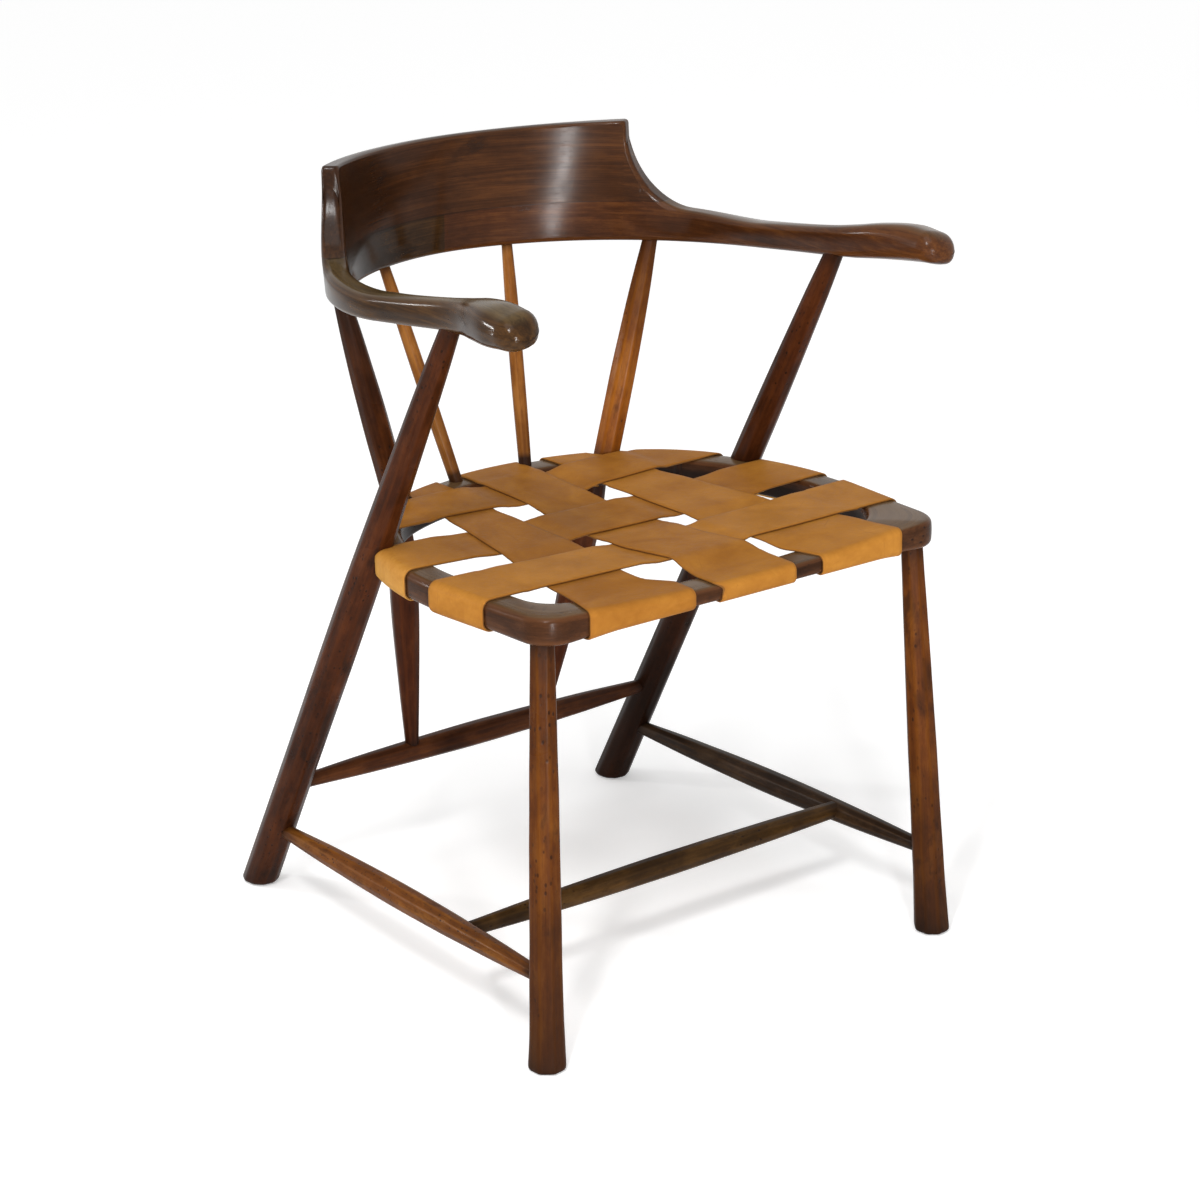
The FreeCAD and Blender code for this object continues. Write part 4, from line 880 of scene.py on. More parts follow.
def outline_x(depth, grow):
    """X of the left side of the ring's outline, moved outwards by grow, at a depth."""
    for arc in (SIDE_ARC, SHOULDER_ARC):
        first = arc_point(arc, arc.start, grow)
        if depth < first.y:
            return first.x + (depth - first.y) * math.tan(TAPER)
        if depth <= arc_point(arc, arc.end, grow).y:
            return arc.centre.x + math.sqrt((arc.radius + grow) ** 2 - (depth - arc.centre.y) ** 2)
    return math.sqrt(max((BACK_ARC.radius + grow) ** 2 - (depth - BACK_ARC.centre.y) ** 2, 0.0))


def outline_y(x, grow):
    """Depth of the rear of the ring's outline, moved outwards by grow, at an X."""
    x = abs(x)
    for arc in (BACK_ARC, SHOULDER_ARC, SIDE_ARC):
        reach = arc.radius + grow
        if x <= arc.centre.x + math.sin(math.radians(arc.start)) * reach:
            return arc.centre.y + math.sqrt(max(reach ** 2 - (x - arc.centre.x) ** 2, 0.0))
    return SIDE_ARC.centre.y


def side_line(depth, inset):
    """A point on the straight part of the left side."""
    first = arc_point(SIDE_ARC, SIDE_ARC.start, -inset)
    return Vector((first.x + (depth - first.y) * math.tan(TAPER), depth, 0))


def corner_centre(side_inset, front_inset, radius):
    depth = front_inset + radius
    return Vector((side_line(depth, side_inset).x - radius / math.cos(TAPER), depth, 0))


def evenly(first, last, steps):
    """Stations evenly from one to another, without the first."""
    return [tuple(on_line(start, end, number / steps) for start, end in zip(first, last))
            for number in range(1, steps + 1)]


def front_stations(side):
    """Outer and inner points of one half of the front rail, and how far round its corner they are."""
    opening = OPENING_CORNER_RADIUS[side]
    outer_centre = corner_centre(0.0, 0.0, CORNER_RADIUS)
    inner_centre = corner_centre(RAIL_WIDTH, FRONT_RAIL_WIDTH, opening)
    across = outward(SIDE_ARC.start)
    turn = 180.0 - SIDE_ARC.start
    outer_end = inner_centre + across * opening + across * RAIL_WIDTH
    outer_low = outer_centre + across * CORNER_RADIUS
    stations = []
    for number in range(STRAIGHT_STEPS):
        x = inner_centre.x * number / STRAIGHT_STEPS
        stations.append((Vector((x, 0, 0)), Vector((x, FRONT_RAIL_WIDTH, 0)), 0.0))
    for number in range(CORNER_STEPS + 1):
        share = number / CORNER_STEPS
        inner = inner_centre + outward(180.0 - turn * share) * opening
        round_corner = (share - OUTER_CORNER_START) / (1 - 2 * OUTER_CORNER_START)
        if round_corner < 0:
            x = inner_centre.x + (outer_centre.x - inner_centre.x) * share / OUTER_CORNER_START
            outer = Vector((x, 0, 0))
        elif round_corner <= 1:
            outer = outer_centre + outward(180.0 - turn * round_corner) * CORNER_RADIUS
        else:
            outer = on_line(outer_low, outer_end, (share - 1 + OUTER_CORNER_START) / OUTER_CORNER_START)
        stations.append((outer, inner, share))
    joint = side_line(FRONT_JOINT_DEPTH, 0.0)
    return stations + evenly(stations[-1], (joint, joint - across * RAIL_WIDTH, 1.0), JOINT_STEPS)


def arc_stations(arc, first, last, steps):
    stations = []
    for number in range(1, steps + 1):
        direction = outward(first + (last - first) * number / steps)
        outer = arc.centre + direction * arc.radius
        stations.append((outer, outer - direction * RAIL_WIDTH, 1.0))
    return stations


def side_stations():
    joint = front_stations(1)[-1]
    bend = arc_point(SIDE_ARC, SIDE_ARC.start, 0.0)
    straight = (bend, bend - outward(SIDE_ARC.start) * RAIL_WIDTH, 1.0)
    return ([joint] + evenly(joint, straight, TAPER_STEPS)
            + arc_stations(SIDE_ARC, SIDE_ARC.start, SIDE_ARC.end, SIDE_STEPS)
            + arc_stations(SHOULDER_ARC, SHOULDER_ARC.start, BACK_JOINT_ANGLE, SHOULDER_FRONT_STEPS))


def back_stations():
    return (side_stations()[-1:]
            + arc_stations(SHOULDER_ARC, BACK_JOINT_ANGLE, SHOULDER_ARC.end, SHOULDER_REAR_STEPS)
            + arc_stations(BACK_ARC, BACK_ARC.start, BACK_ARC.end, BACK_STEPS))


def dish(x):
    """How far the front rail's top is hollowed at a distance from the middle."""
    return FRONT_DISH * (1 - min(abs(x) / FRONT_DISH_HALF_WIDTH, 1.0) ** 2)


def arch(x):
    """How far the front rail's underside is lifted at a distance from the middle."""
    return FRONT_ARCH * smooth((FRONT_ARCH_HALF_WIDTH - abs(x)) / FRONT_ARCH_RISE)


def rail_outline(outer, inner, share):
    middle = (outer.x + inner.x) / 2
    low = UP * ((arch(middle) if share < 1.0 else 0.0) - RAIL_HEIGHT)
    high = UP * -(dish(middle) if share < 1.0 else 0.0)
    rounding = FRONT_ROUNDING + (RAIL_ROUNDING - FRONT_ROUNDING) * share
    corners = [outer + high, outer + low, inner + low, inner + high]
    return rounded(corners, (rounding, rounding, INNER_ROUNDING, INNER_ROUNDING), RAIL_CROWN)


def rail(name, halves, material, seed):
    """A rail through stations given for each side, with a fine groove at its start and near its end."""
    run = seed
    sections = []
    before = None
    for side, stations in halves:
        for outer, inner, share in stations:
            across = inner - outer
            outline = rail_outline(outer, inner, share)
            points = [Vector((side * point.x, point.y, point.z)) for point, wear in outline]
            centre = middle_of(points)
            if before is not None:
                run += (centre - before).length
            before = centre
            spots = []
            for number, (point, (place, wear)) in enumerate(zip(points, outline)):
                # Painted shade on the rail's inner face, deepest low down below its top.
                within = (place - outer).dot(across) / across.length_squared
                dirt_and_shade = smooth((within - INSIDE_START) / INSIDE_RISE)
                dirt_and_shade *= smooth((-point.z - BELOW_START) / BELOW_RISE)
                off = point - centre
                wobble = WOBBLE * noise.noise(point / WOBBLE_LENGTH + Vector((seed, 0, 0)))
                aside = -off.xy.length if number < len(points) / 2 else off.xy.length
                spots.append(Spot(SEAT @ (point + off.normalized() * wobble), Vector((aside, off.z, run)),
                                  wear, dirt_and_shade))
            sections.append(spots)
    sections.insert(0, grooved(sections[0], sections[1]))
    sections.insert(-1, grooved(sections[-2], sections[-3]))
    return finished(grown(sections), name, material)


def grooved(section, neighbour):
    """A section drawn in a little, with dirt in the joint; the one it was steps back and is clean."""
    centre = middle_of([spot.place for spot in section])
    drawn = []
    for number, spot in enumerate(section):
        place = spot.place + (centre - spot.place).normalized() * JOINT_GROOVE
        drawn.append(spot._replace(place=place, grime=JOINT_GRIME))
        section[number] = spot._replace(place=on_line(spot.place, neighbour[number].place, JOINT_SPACE))
    return drawn


# Leather straps

LEATHER = 2.1
LEATHER_REST = 1.35
LEATHER_LAYER = 2.6
LEVELS = {"high": LEATHER_LAYER, "over": LEATHER_LAYER / 2, "rest": 0.0, "under": -LEATHER_LAYER / 2}
STRAP_SAG = 7.0
STRAP_RAMP = 24.0
STRAP_MARGIN = 2.0
STRAP_STEP = 4.0
WRAP_GAP = 0.3
WRAP_TURNS = [15.0 * number for number in range(7)]
FACE_STEPS = 4
LEAD_STEPS = 6
TACK_INSET = 16.0
TACK_EDGE = 8.0
CUT_EDGE = 0.8
ACROSS_STEPS = 22
WAVE = 0.5
WAVE_LENGTH = 60.0
WAVE_SEED = 3.1
EDGE_CURL = 0.35
LOW_EDGE_LIFT = 0.4
HIDES_APART = 200.0
EDGE_DRIFT = 0.7
DRIFT_LENGTH = 45.0
EDGE_BAND = 9.0
EDGE_DRAW = 0.55
END_TONE_RUN = 110.0
UNDERSIDE = 0.8

# Depths of the front and rear edges on the right and on the left, then how each passes.
SIDE_STRAPS = {
    "strap_side_front": (76.0, 149.0, 70.0, 146.0, "over under over"),
    "strap_side_middle": (188.0, 256.0, 174.0, 249.0, "under over under"),
    "strap_side_rear": (296.0, 357.0, 292.0, 355.0, "high under high"),
}
# Places of the two edges in front and behind, then how each passes.
LONG_STRAPS = {
    "strap_long_right": (-180.0, -69.0, -106.0, -64.0, "under over rest"),
    "strap_long_middle": (-46.0, 42.0, -34.5, 34.5, "over under over"),
    "strap_long_left": (65.0, 176.0, 62.0, 106.0, "under over rest"),
}
STRAPS = {**SIDE_STRAPS, **LONG_STRAPS}
# How far the two edges of a long strap stray from their straight lines, by depth.
LONG_WANDER = {
    "strap_long_right": (
        ((0.0, 0.0), (110.0, 1.0), (145.0, 6.0), (290.0, 6.0), (380.0, 0.0)),
        ((0.0, 4.0), (27.0, 6.0), (37.0, -4.0), (46.0, -16.0), (60.0, -20.0), (78.0, -18.0), (140.0, 0.0))),
    "strap_long_middle": (
        ((-2.0, 14.0), (4.0, 6.0), (54.0, 7.0), (75.0, 9.0), (105.0, 4.0), (135.0, -1.0), (250.0, 5.0),
         (300.0, 7.0), (380.0, 0.0)),
        ((0.0, 8.0), (16.0, 10.0), (52.0, 7.0), (71.0, 5.0), (120.0, 0.0))),
    "strap_long_left": (
        ((0.0, 16.0), (16.0, 15.0), (28.0, 8.0), (40.0, 1.0), (60.0, -2.0), (90.0, 0.0)),
        ((0.0, 0.0), (1.0, 0.0))),
}
# How light each hide is, and how much lighter near its ends.
STRAP_TONES = {
    "strap_side_front": (0.55, -0.05), "strap_side_middle": (0.4, 0.55), "strap_side_rear": (0.42, 0.2),
    "strap_long_right": (0.36, 0.05), "strap_long_middle": (0.42, 0.1), "strap_long_left": (0.5, 0.1),
}


def sag(x, depth):
    """How far the leather hangs below the rails over a point of the opening."""
    rear = outline_y(x, -RAIL_WIDTH)
    side = outline_x(depth, -RAIL_WIDTH)
    if not FRONT_RAIL_WIDTH < depth < rear or abs(x) >= side:
        return 0.0
    middle = (FRONT_RAIL_WIDTH + rear) / 2
    lengthwise = 1 - ((depth - middle) / (rear - middle)) ** 2
    return STRAP_SAG * lengthwise * (1 - (x / side) ** 2)


def edge_place(strap, first_end, share):
    """Where a share of the strap's width lies on the right or in front, or at its other end."""
    row = STRAPS[strap]
    low, high = row[:2] if first_end else row[2:4]
    return low + (high - low) * share


def wander(strap, share, depth):
    first, second = LONG_WANDER[strap]
    return carried(first, depth) * (1 - share) + carried(second, depth) * share


def strap_plan(strap, share, place):
    """A point of a strap's plan: share across it, at a place along it."""
    first = edge_place(strap, True, share)
    last = edge_place(strap, False, share)
    if strap in SIDE_STRAPS:
        depth = first + (last - first) * (place + SEAT_HALF_WIDTH) / (2 * SEAT_HALF_WIDTH)
        return Vector((place, depth, 0))
    x = first + (last - first) * place / SEAT_DEPTH + wander(strap, share, place)
    return Vector((x, place, 0))


def crossing(strap, other):
    """Where another strap crosses: the start and end along this strap's run."""
    sidewise = strap in SIDE_STRAPS
    low, high = [], []
    for share in (0.0, 1.0):
        for edge, ends in ((0.0, low), (1.0, high)):
            place = 0.0
            for attempt in range(3):
                point = strap_plan(strap, share, place)
                met = strap_plan(other, edge, point.y if sidewise else point.x)
                place = met.x if sidewise else met.y
            ends.append(place)
    return min(low) - STRAP_MARGIN, max(high) + STRAP_MARGIN


def wrapped(strap, end, share, inset, rise):
    """A point over or round the rail at a strap's end, inset from the rail's outer face."""
    place = edge_place(strap, end < 0, share)
    if strap in SIDE_STRAPS:
        for attempt in range(2):
            x = outline_x(place, -inset)
            place = strap_plan(strap, share, end * x).y
        return Vector((end * x, place, rise))
    if end < 0:
        depth = inset if rise > -RAIL_HEIGHT / 2 else 0.0
        return Vector((place + wander(strap, share, depth), inset, rise))
    return Vector((place, outline_y(place, -inset), rise))


def weave(strap):
    """Stops along a strap, each a place and the strap's level there above the rails."""
    sidewise = strap in SIDE_STRAPS
    stops = []
    for word, other in zip(STRAPS[strap][4].split(), LONG_STRAPS if sidewise else SIDE_STRAPS):
        low, high = crossing(strap, other)
        stops += [(low, LEVELS[word]), (high, LEVELS[word])]
    first = stops[0][0] - STRAP_RAMP
    last = stops[-1][0] + STRAP_RAMP
    if sidewise:
        rests = []
        for end in (-1, 1):
            reach = [abs(wrapped(strap, end, share, RAIL_ROUNDING, 0.0).x) for share in (0.0, 1.0)]
            rests.append(min(reach) - STRAP_MARGIN)
        first = max(first, -rests[0])
        last = min(last, rests[1])
    else:
        rear = min(outline_y(edge_place(strap, False, share), -RAIL_WIDTH) for share in (0.0, 1.0))
        last = min(last, max(rear, crossing(strap, "strap_side_rear")[1] + 1.0))
    return [(first, 0.0)] + stops + [(last, 0.0)]


def level(stops, place):
    for (start, before), (end, after) in zip(stops, stops[1:]):
        if start <= place <= end:
            return before + (after - before) * smooth((place - start) / (end - start))
    return 0.0


# A strap's sections are sheets: the points of its under side and those of its upper side.

def over_front(strap, end):
    return strap in LONG_STRAPS and end < 0


def front_lift(strap, end, share):
    """How far the arched front rail lifts a strap that wraps it."""
    return arch(edge_place(strap, True, share)) if over_front(strap, end) else 0.0


def inward(strap, end):
    return Vector((-end, 0, 0)) if strap in SIDE_STRAPS else Vector((0, -end, 0))


def both_skins(shares, point):
    return [[point(share, skin) for share in shares] for skin in (0.0, LEATHER)]


def span_points(strap, stops, shares, place):
    """The strap's sheet at a place over the weave."""
    lower, upper = [], []
    for share in shares:
        point = strap_plan(strap, share, place)
        height = LEATHER_REST + level(stops, place) - sag(point.x, point.y)
        if strap in LONG_STRAPS:
            start = FRONT_RAIL_WIDTH - INNER_ROUNDING
            height -= dish(point.x) * (1 - smooth((place - start) / (stops[1][0] - start)))
        height += WAVE * noise.noise(Vector((point.x / WAVE_LENGTH, point.y / WAVE_LENGTH, WAVE_SEED)))
        edge = abs(2 * share - 1) ** 6
        height -= EDGE_CURL * edge * (1 if level(stops, place) > 0 else -LOW_EDGE_LIFT)
        lower.append(point + UP * (height - LEATHER / 2))
        upper.append(point + UP * (height + LEATHER / 2))
    return lower, upper


def wrap_points(strap, end, shares, turn, upper_edge):
    """The strap's sheet at a turn round the rail's upper or lower edge, 90 degrees level."""
    at_front = over_front(strap, end)
    rounding = FRONT_ROUNDING if at_front else RAIL_ROUNDING
    turn = math.radians(turn)

    def point(share, skin):
        over = rounding + WRAP_GAP + skin
        inset = rounding - over * math.cos(turn)
        rise = over * math.sin(turn) - rounding
        if upper_edge:
            height = rise - (dish(edge_place(strap, True, share)) if at_front else 0.0)
        else:
            height = front_lift(strap, end, share) - RAIL_HEIGHT - rise
        return wrapped(strap, end, share, inset, height)

    return both_skins(shares, point)


def tuck_points(strap, end, shares):
    """The strap's sheet at its cut end under the rail."""
    first, last = (wrapped(strap, end, share, 0.0, 0.0) for share in (0.0, 1.0))

    def point(share, skin):
        place = on_line(first, last, share) + inward(strap, end) * (TACK_INSET + TACK_EDGE)
        return place + UP * (front_lift(strap, end, share) - RAIL_HEIGHT - WRAP_GAP - skin)

    return both_skins(shares, point)


def between(first, last, steps):
    """Sheets evenly between two others."""
    return [[[on_line(a, b, number / steps) for a, b in zip(start, end)] for start, end in zip(first, last)]
            for number in range(1, steps)]


def end_sheets(strap, end, shares):
    """Sheets from the cut end under a rail round its lower edge, and those round its upper edge."""
    sheets = [tuck_points(strap, end, shares)]
    sheets += [wrap_points(strap, end, shares, turn, False) for turn in reversed(WRAP_TURNS)]
    top = [wrap_points(strap, end, shares, turn, True) for turn in WRAP_TURNS]
    return sheets, top


def strap_sheets(strap, shares):
    """All the strap's sheets, from its cut end under one rail to that under the other."""
    stops = weave(strap)
    low, top = end_sheets(strap, -1, shares)
    sheets = low + between(low[-1], top[0], FACE_STEPS) + top
    start, end = stops[0][0], stops[-1][0]
    if strap in LONG_STRAPS:
        start = FRONT_RAIL_WIDTH - INNER_ROUNDING
        sheets += between(sheets[-1], span_points(strap, stops, shares, start), LEAD_STEPS)
    count = math.ceil((end - start) / STRAP_STEP)
    sheets += [span_points(strap, stops, shares, start + (end - start) * number / count)
               for number in range(count + 1)]
    low, top = end_sheets(strap, 1, shares)
    sheets += between(sheets[-1], top[-1], LEAD_STEPS) + top[::-1]
    return sheets + between(top[0], low[-1], FACE_STEPS) + low[::-1]


def strap(name, material, seed):
    """A leather strap with thickness, cut edges and a slightly uneven outline."""
    row = STRAPS[name]
    width = (row[1] - row[0] + row[3] - row[2]) / 2
    edge = CUT_EDGE / width
    inner = [edge + (1 - 2 * edge) * number / ACROSS_STEPS for number in range(ACROSS_STEPS + 1)]
    shares = [0.0] + inner + [1.0]
    sheets = strap_sheets(name, shares)
    line = [upper[len(shares) // 2] for lower, upper in sheets]
    total = 0.0
    runs = [total]
    for before, after in zip(line, line[1:]):
        total += (after - before).length
        runs.append(total)
    tone, end_tone = STRAP_TONES[name]
    sections = []
    for (lower, upper), run in zip(sheets, runs):
        near_end = smooth(max(1 - run / END_TONE_RUN, 1 - (total - run) / END_TONE_RUN, 0.0))
        across = (upper[-1] - upper[0]).normalized()
        spots = []
        for points, under in ((lower, 1.0), (upper[::-1], 0.0)):
            for number, point in enumerate(points):
                share = shares[number] if under else shares[-1 - number]
                # For leather, wear is nearness to a cut edge: it sets the painted shade along the edges and
                # the dark cut.
                wear = max(0.0, 1 - min(share, 1 - share) * width / EDGE_BAND)
                drift = Vector((run / DRIFT_LENGTH, seed + (3.0 if share > 0.5 else 0.0), 0.5))
                drift = EDGE_DRIFT * noise.noise(drift)
                if number in (0, len(points) - 1):
                    middle = (lower[0] + upper[0]) / 2 if share < 0.5 else (lower[-1] + upper[-1]) / 2
                    point = on_line(point, middle, EDGE_DRAW)
                moved = SEAT @ (point + across * drift * abs(2 * share - 1) ** 3)
                grain = Vector((share * width + seed * HIDES_APART, run, under * 3))
                spots.append(Spot(moved, grain, wear, under * UNDERSIDE, tone + end_tone * near_end))
        sections.append(spots)
    piece = finished(grown(sections), name, material, sharp=60.0)
    return piece


# Tacks

TACK_SHARES = {"strap_side_front": 0.25, "strap_side_rear": 0.75}
TACK_HEAD_RADIUS = 4.0
TACK_HEAD_HEIGHT = 1.2
TACK_PIN_RADIUS = 1.1
TACK_PIN_LENGTH = 10.0
TACK_POINT = 2.0
TACK_TIP_RADIUS = 0.1
TACK_CROWN_RADIUS = 0.15
TACK_HEAD_EDGE = 0.1
TACK_HEAD_STEPS = 6
TACK_SIDES = 20


def tack_profile():
    """Radii and heights of a tack from the crown of its head up to its point."""
    profile = [(TACK_CROWN_RADIUS, -TACK_HEAD_HEIGHT)]
    for step in range(1, TACK_HEAD_STEPS + 1):
        turn = math.pi / 2 * step / TACK_HEAD_STEPS
        profile.append((TACK_HEAD_RADIUS * math.sin(turn), -TACK_HEAD_HEIGHT * math.cos(turn)))
    return profile + [(TACK_PIN_RADIUS, TACK_HEAD_EDGE), (TACK_PIN_RADIUS, TACK_PIN_LENGTH - TACK_POINT),
                      (TACK_TIP_RADIUS, TACK_PIN_LENGTH)]


def tacks(material):
    """Domed tacks under the rails, one at each end of a strap."""
    form = bmesh.new()
    for name in STRAPS:
        for end in (-1, 1):
            spot = wrapped(name, end, TACK_SHARES.get(name, 0.5), 0.0, 0.0)
            lift = arch(spot.x) if over_front(name, end) else 0.0
            head = spot + inward(name, end) * TACK_INSET + UP * (lift - RAIL_HEIGHT - WRAP_GAP - LEATHER)
            sections = []
            for radius, height in tack_profile():
                section = []
                for number in range(TACK_SIDES):
                    angle = 2 * math.pi * number / TACK_SIDES
                    point = head + Vector((math.cos(angle) * radius, math.sin(angle) * radius, height))
                    section.append(Spot(SEAT @ point, point, 0.0, 0.0))
                sections.append(section)
            grown(sections, form)
    return finished(form, "strap_tacks", material)


# Where the sticks stand, given for the left side; a reach is how far a mouth lies from a stick's middle.

FRONT_FOOT = (229.4, -244.5)
FRONT_TOP = (211.6, -217.1)
REAR_FOOT = (219.5, 244.1)
SIDE_STRETCHER_FRONT_Z = 82.3
SIDE_STRETCHER_REAR_Z = 69.0
REAR_STRETCHER_Z = 123.5
FRONT_LEG_REACH = 15.6
REAR_LEG_REACH = 16.6
STRETCHER_REACH = 10.7
CROSS_Y = -113.0
CROSS_RISE = {-1: 2.0, 1: 3.0}
STRUT_FOOT_X = 79.5
STRUT_TOP = (118.0, 133.0)
POST_PLACE = (203.0, 126.5, 128.4)
# Run of a spindle's top along the bow, and the x and y of its foot; the left one leans more.
SPINDLE_PLACES = {-1: (71.5, 45.5, 149.7), 1: (68.8, 39.5, 149.7)}


def front_leg_line(side):
    foot = Vector((side * FRONT_FOOT[0], FRONT_FOOT[1], 0))
    top = Vector((side * FRONT_TOP[0], FRONT_TOP[1], SEAT_TOP_Z - RAIL_HEIGHT))
    return foot, meet(foot, top, SEAT, -RAIL_HEIGHT)


def rear_leg_line(side):
    y, inner, width, bottom = ARM_STATIONS[2][:4]
    return Vector((side * REAR_FOOT[0], REAR_FOOT[1], 0)), Vector((side * (inner + width / 2), y, bottom))


def side_stretcher_line(side):
    front = at_height(*front_leg_line(side), SIDE_STRETCHER_FRONT_Z)
    rear = at_height(*rear_leg_line(side), SIDE_STRETCHER_REAR_Z)
    return shifted(front, rear, FRONT_LEG_REACH), shifted(rear, front, REAR_LEG_REACH)


def rear_stretcher_line():
    right, left = (at_height(*rear_leg_line(side), REAR_STRETCHER_Z) for side in (-1, 1))
    return shifted(right, left, REAR_LEG_REACH), shifted(left, right, REAR_LEG_REACH)


def cross_stretcher_line():
    ends = []
    for side in (-1, 1):
        front, rear = side_stretcher_line(side)
        ends.append(on_line(front, rear, (CROSS_Y - front.y) / (rear.y - front.y)))
    return (shifted(ends[0], ends[1], STRETCHER_REACH) + UP * CROSS_RISE[-1],
            shifted(ends[1], ends[0], STRETCHER_REACH) + UP * CROSS_RISE[1])


def strut_line(side):
    right, left = rear_stretcher_line()
    foot = on_line(right, left, (side * STRUT_FOOT_X - right.x) / (left.x - right.x))
    top = Vector((side * STRUT_TOP[0], STRUT_TOP[1], SEAT_TOP_Z - RAIL_HEIGHT))
    top = meet(foot, top, SEAT, -RAIL_HEIGHT)
    return shifted(foot, top, STRETCHER_REACH), top


def back_stick_line(side, top_run, foot_x, foot_y):
    inner, outer = (wall_point(top_run, BOW_UNDER_Z, face) for face in (False, True))
    top = on_line(inner, outer, 0.5)
    top = Vector((side * top.x, top.y, bow_under(top.y)))
    return meet(Vector((side * foot_x, foot_y, SEAT_TOP_Z)), top, SEAT, 0.0), top


# Woods: the deep, middle and light tone of each, and where it differs from the usual finish.

# A wood's worn colour is what its upward faces turn to: dust, and a painted sheen on the tops.
ARM_FINISH = {"width": 190.0, "length": 7.0, "patches": 0.45, "rubbed": 0.5, "dust_and_sheen": 0.45, "gloss": 0.15,
              "sheen": 0.13, "relief": 0.2, "mottle": 0.4}
LEG_FINISH = {"width": 150.0, "pit_size": 210.0, "rubbed": 0.4, "gloss": 0.3}
BACK_FINISH = {"rubbed": 0.3, "gloss": 0.25}
STRETCHER_FINISH = {"rubbed": 0.35, "gloss": 0.3}

WOODS = {
    "left_arm_walnut": ((46, 24, 11), (66, 36, 17), (92, 54, 25), {
        **ARM_FINISH, "dark": (28, 15, 8), "worn": (112, 88, 56)}),
    "right_arm_walnut": ((36, 22, 10), (52, 33, 15), (78, 52, 25), {
        **ARM_FINISH, "dark": (24, 15, 8), "worn": (116, 98, 64)}),
    "crest_walnut": ((42, 23, 12), (58, 33, 16), (80, 47, 22), {
        **ARM_FINISH, "dark": (26, 15, 9), "worn": (96, 78, 60), "width": 200.0, "rubbed": 0.55,
        "dust_and_sheen": 0.2, "gloss": 0.14, "relief": 0.3, "mottle": 0.3, "shift": (0.4, 0.2, 0.9)}),
    "front_leg_wood": ((66, 31, 5), (88, 44, 8), (112, 64, 18), {
        **LEG_FINISH, "dark": (34, 18, 9), "patches": 0.52, "pits": 0.6}),
    "left_front_leg_wood": ((64, 30, 5), (86, 43, 8), (108, 61, 16), {
        **LEG_FINISH, "dark": (28, 15, 8), "patches": 0.62, "pits": 0.45, "shift": (0.1, 0.3, 0.4)}),
    "long_leg_wood": ((42, 19, 7), (60, 28, 11), (84, 43, 19), {
        "dark": (22, 12, 7), "patches": 0.58, "pits": 0.4, "gloss": 0.24}),
    "strut_wood": ((46, 20, 9), (65, 30, 13), (90, 46, 21), {"patches": 0.5, "gloss": 0.28}),
    "post_wood": ((94, 47, 11), (124, 68, 18), (152, 92, 30), {
        **BACK_FINISH, "dark": (48, 23, 10), "patches": 0.5, "pits": 0.2}),
    "dark_post_wood": ((46, 22, 10), (66, 33, 14), (90, 49, 23), {
        **BACK_FINISH, "patches": 0.35, "pits": 0.2, "shift": (0.2, 0.1, 0.6)}),
    "spindle_wood": ((92, 50, 18), (120, 72, 28), (150, 98, 46), {
        **BACK_FINISH, "dark": (40, 21, 11), "patches": 0.25}),
    "orange_stretcher_wood": ((72, 37, 9), (98, 54, 15), (130, 80, 28), {
        **STRETCHER_FINISH, "dark": (36, 19, 10), "patches": 0.55, "pits": 0.6, "pit_size": 300.0}),
    "grey_stretcher_wood": ((28, 18, 11), (44, 30, 19), (70, 50, 31), {
        **STRETCHER_FINISH, "patches": 0.45, "rubbed": 0.4}),
    "olive_stretcher_wood": ((36, 23, 10), (54, 36, 15), (80, 55, 26), {
        **STRETCHER_FINISH, "patches": 0.5, "pits": 0.3}),
    "rear_stretcher_wood": ((42, 21, 11), (64, 34, 17), (92, 52, 26), {
        **STRETCHER_FINISH, "patches": 0.45}),
    "rail_wood": ((46, 26, 14), (62, 36, 19), (86, 52, 29), {
        "worn": (106, 82, 54), "width": 160.0, "pits": 0.2, "rubbed": 0.7, "dust_and_sheen": 0.8, "gloss": 0.22,
        "sheen": 0.09}),
    "peg_wood": ((56, 32, 19), (82, 48, 27), (106, 66, 38), {"gloss": 0.5, "whole": True}),
}
woods = {}
for name, (deep, mid, light, own) in WOODS.items():
    woods[name] = wood_finish(name, deep, mid, light, **own)
leather = leather_finish()
steel = steel_finish()

# Radii of the sticks, by shares of their length

FRONT_LEGS = {-1: ((0.0, 17.9), (0.05, 16.9), (0.16, 15.6), (0.55, 14.0), (0.85, 12.2), (1.0, 11.0)),
              1: ((0.0, 17.4), (0.05, 16.6), (0.16, 15.4), (0.55, 13.6), (0.85, 11.5), (1.0, 10.3))}
REAR_LEGS = {-1: ((0.0, 17.2), (0.22, 16.6), (0.55, 16.3), (0.75, 13.9), (0.93, 10.9), (1.0, 9.0)),
             1: ((0.0, 17.2), (0.22, 16.2), (0.4, 15.6), (0.55, 14.8), (0.75, 13.6), (0.93, 10.9),
                 (1.0, 9.0))}
STRETCHER = ((0.0, 7.0), (0.2, 10.2), (0.5, 12.2), (0.8, 10.2), (1.0, 7.0))
CROSS = ((0.0, 7.2), (0.2, 9.9), (0.5, 11.4), (0.8, 10.4), (1.0, 8.4))
STRUT = ((0.0, 6.8), (0.3, 10.6), (0.6, 13.6), (0.85, 13.6), (1.0, 10.0))
POST = ((0.0, 13.0), (0.15, 13.0), (0.45, 12.6), (0.8, 10.2), (1.0, 7.6))
SPINDLE = ((0.0, 6.2), (0.25, 6.8), (0.5, 6.9), (0.75, 6.4), (1.0, 5.2))

# Dirt and dark finish on the sticks, by shares of their length

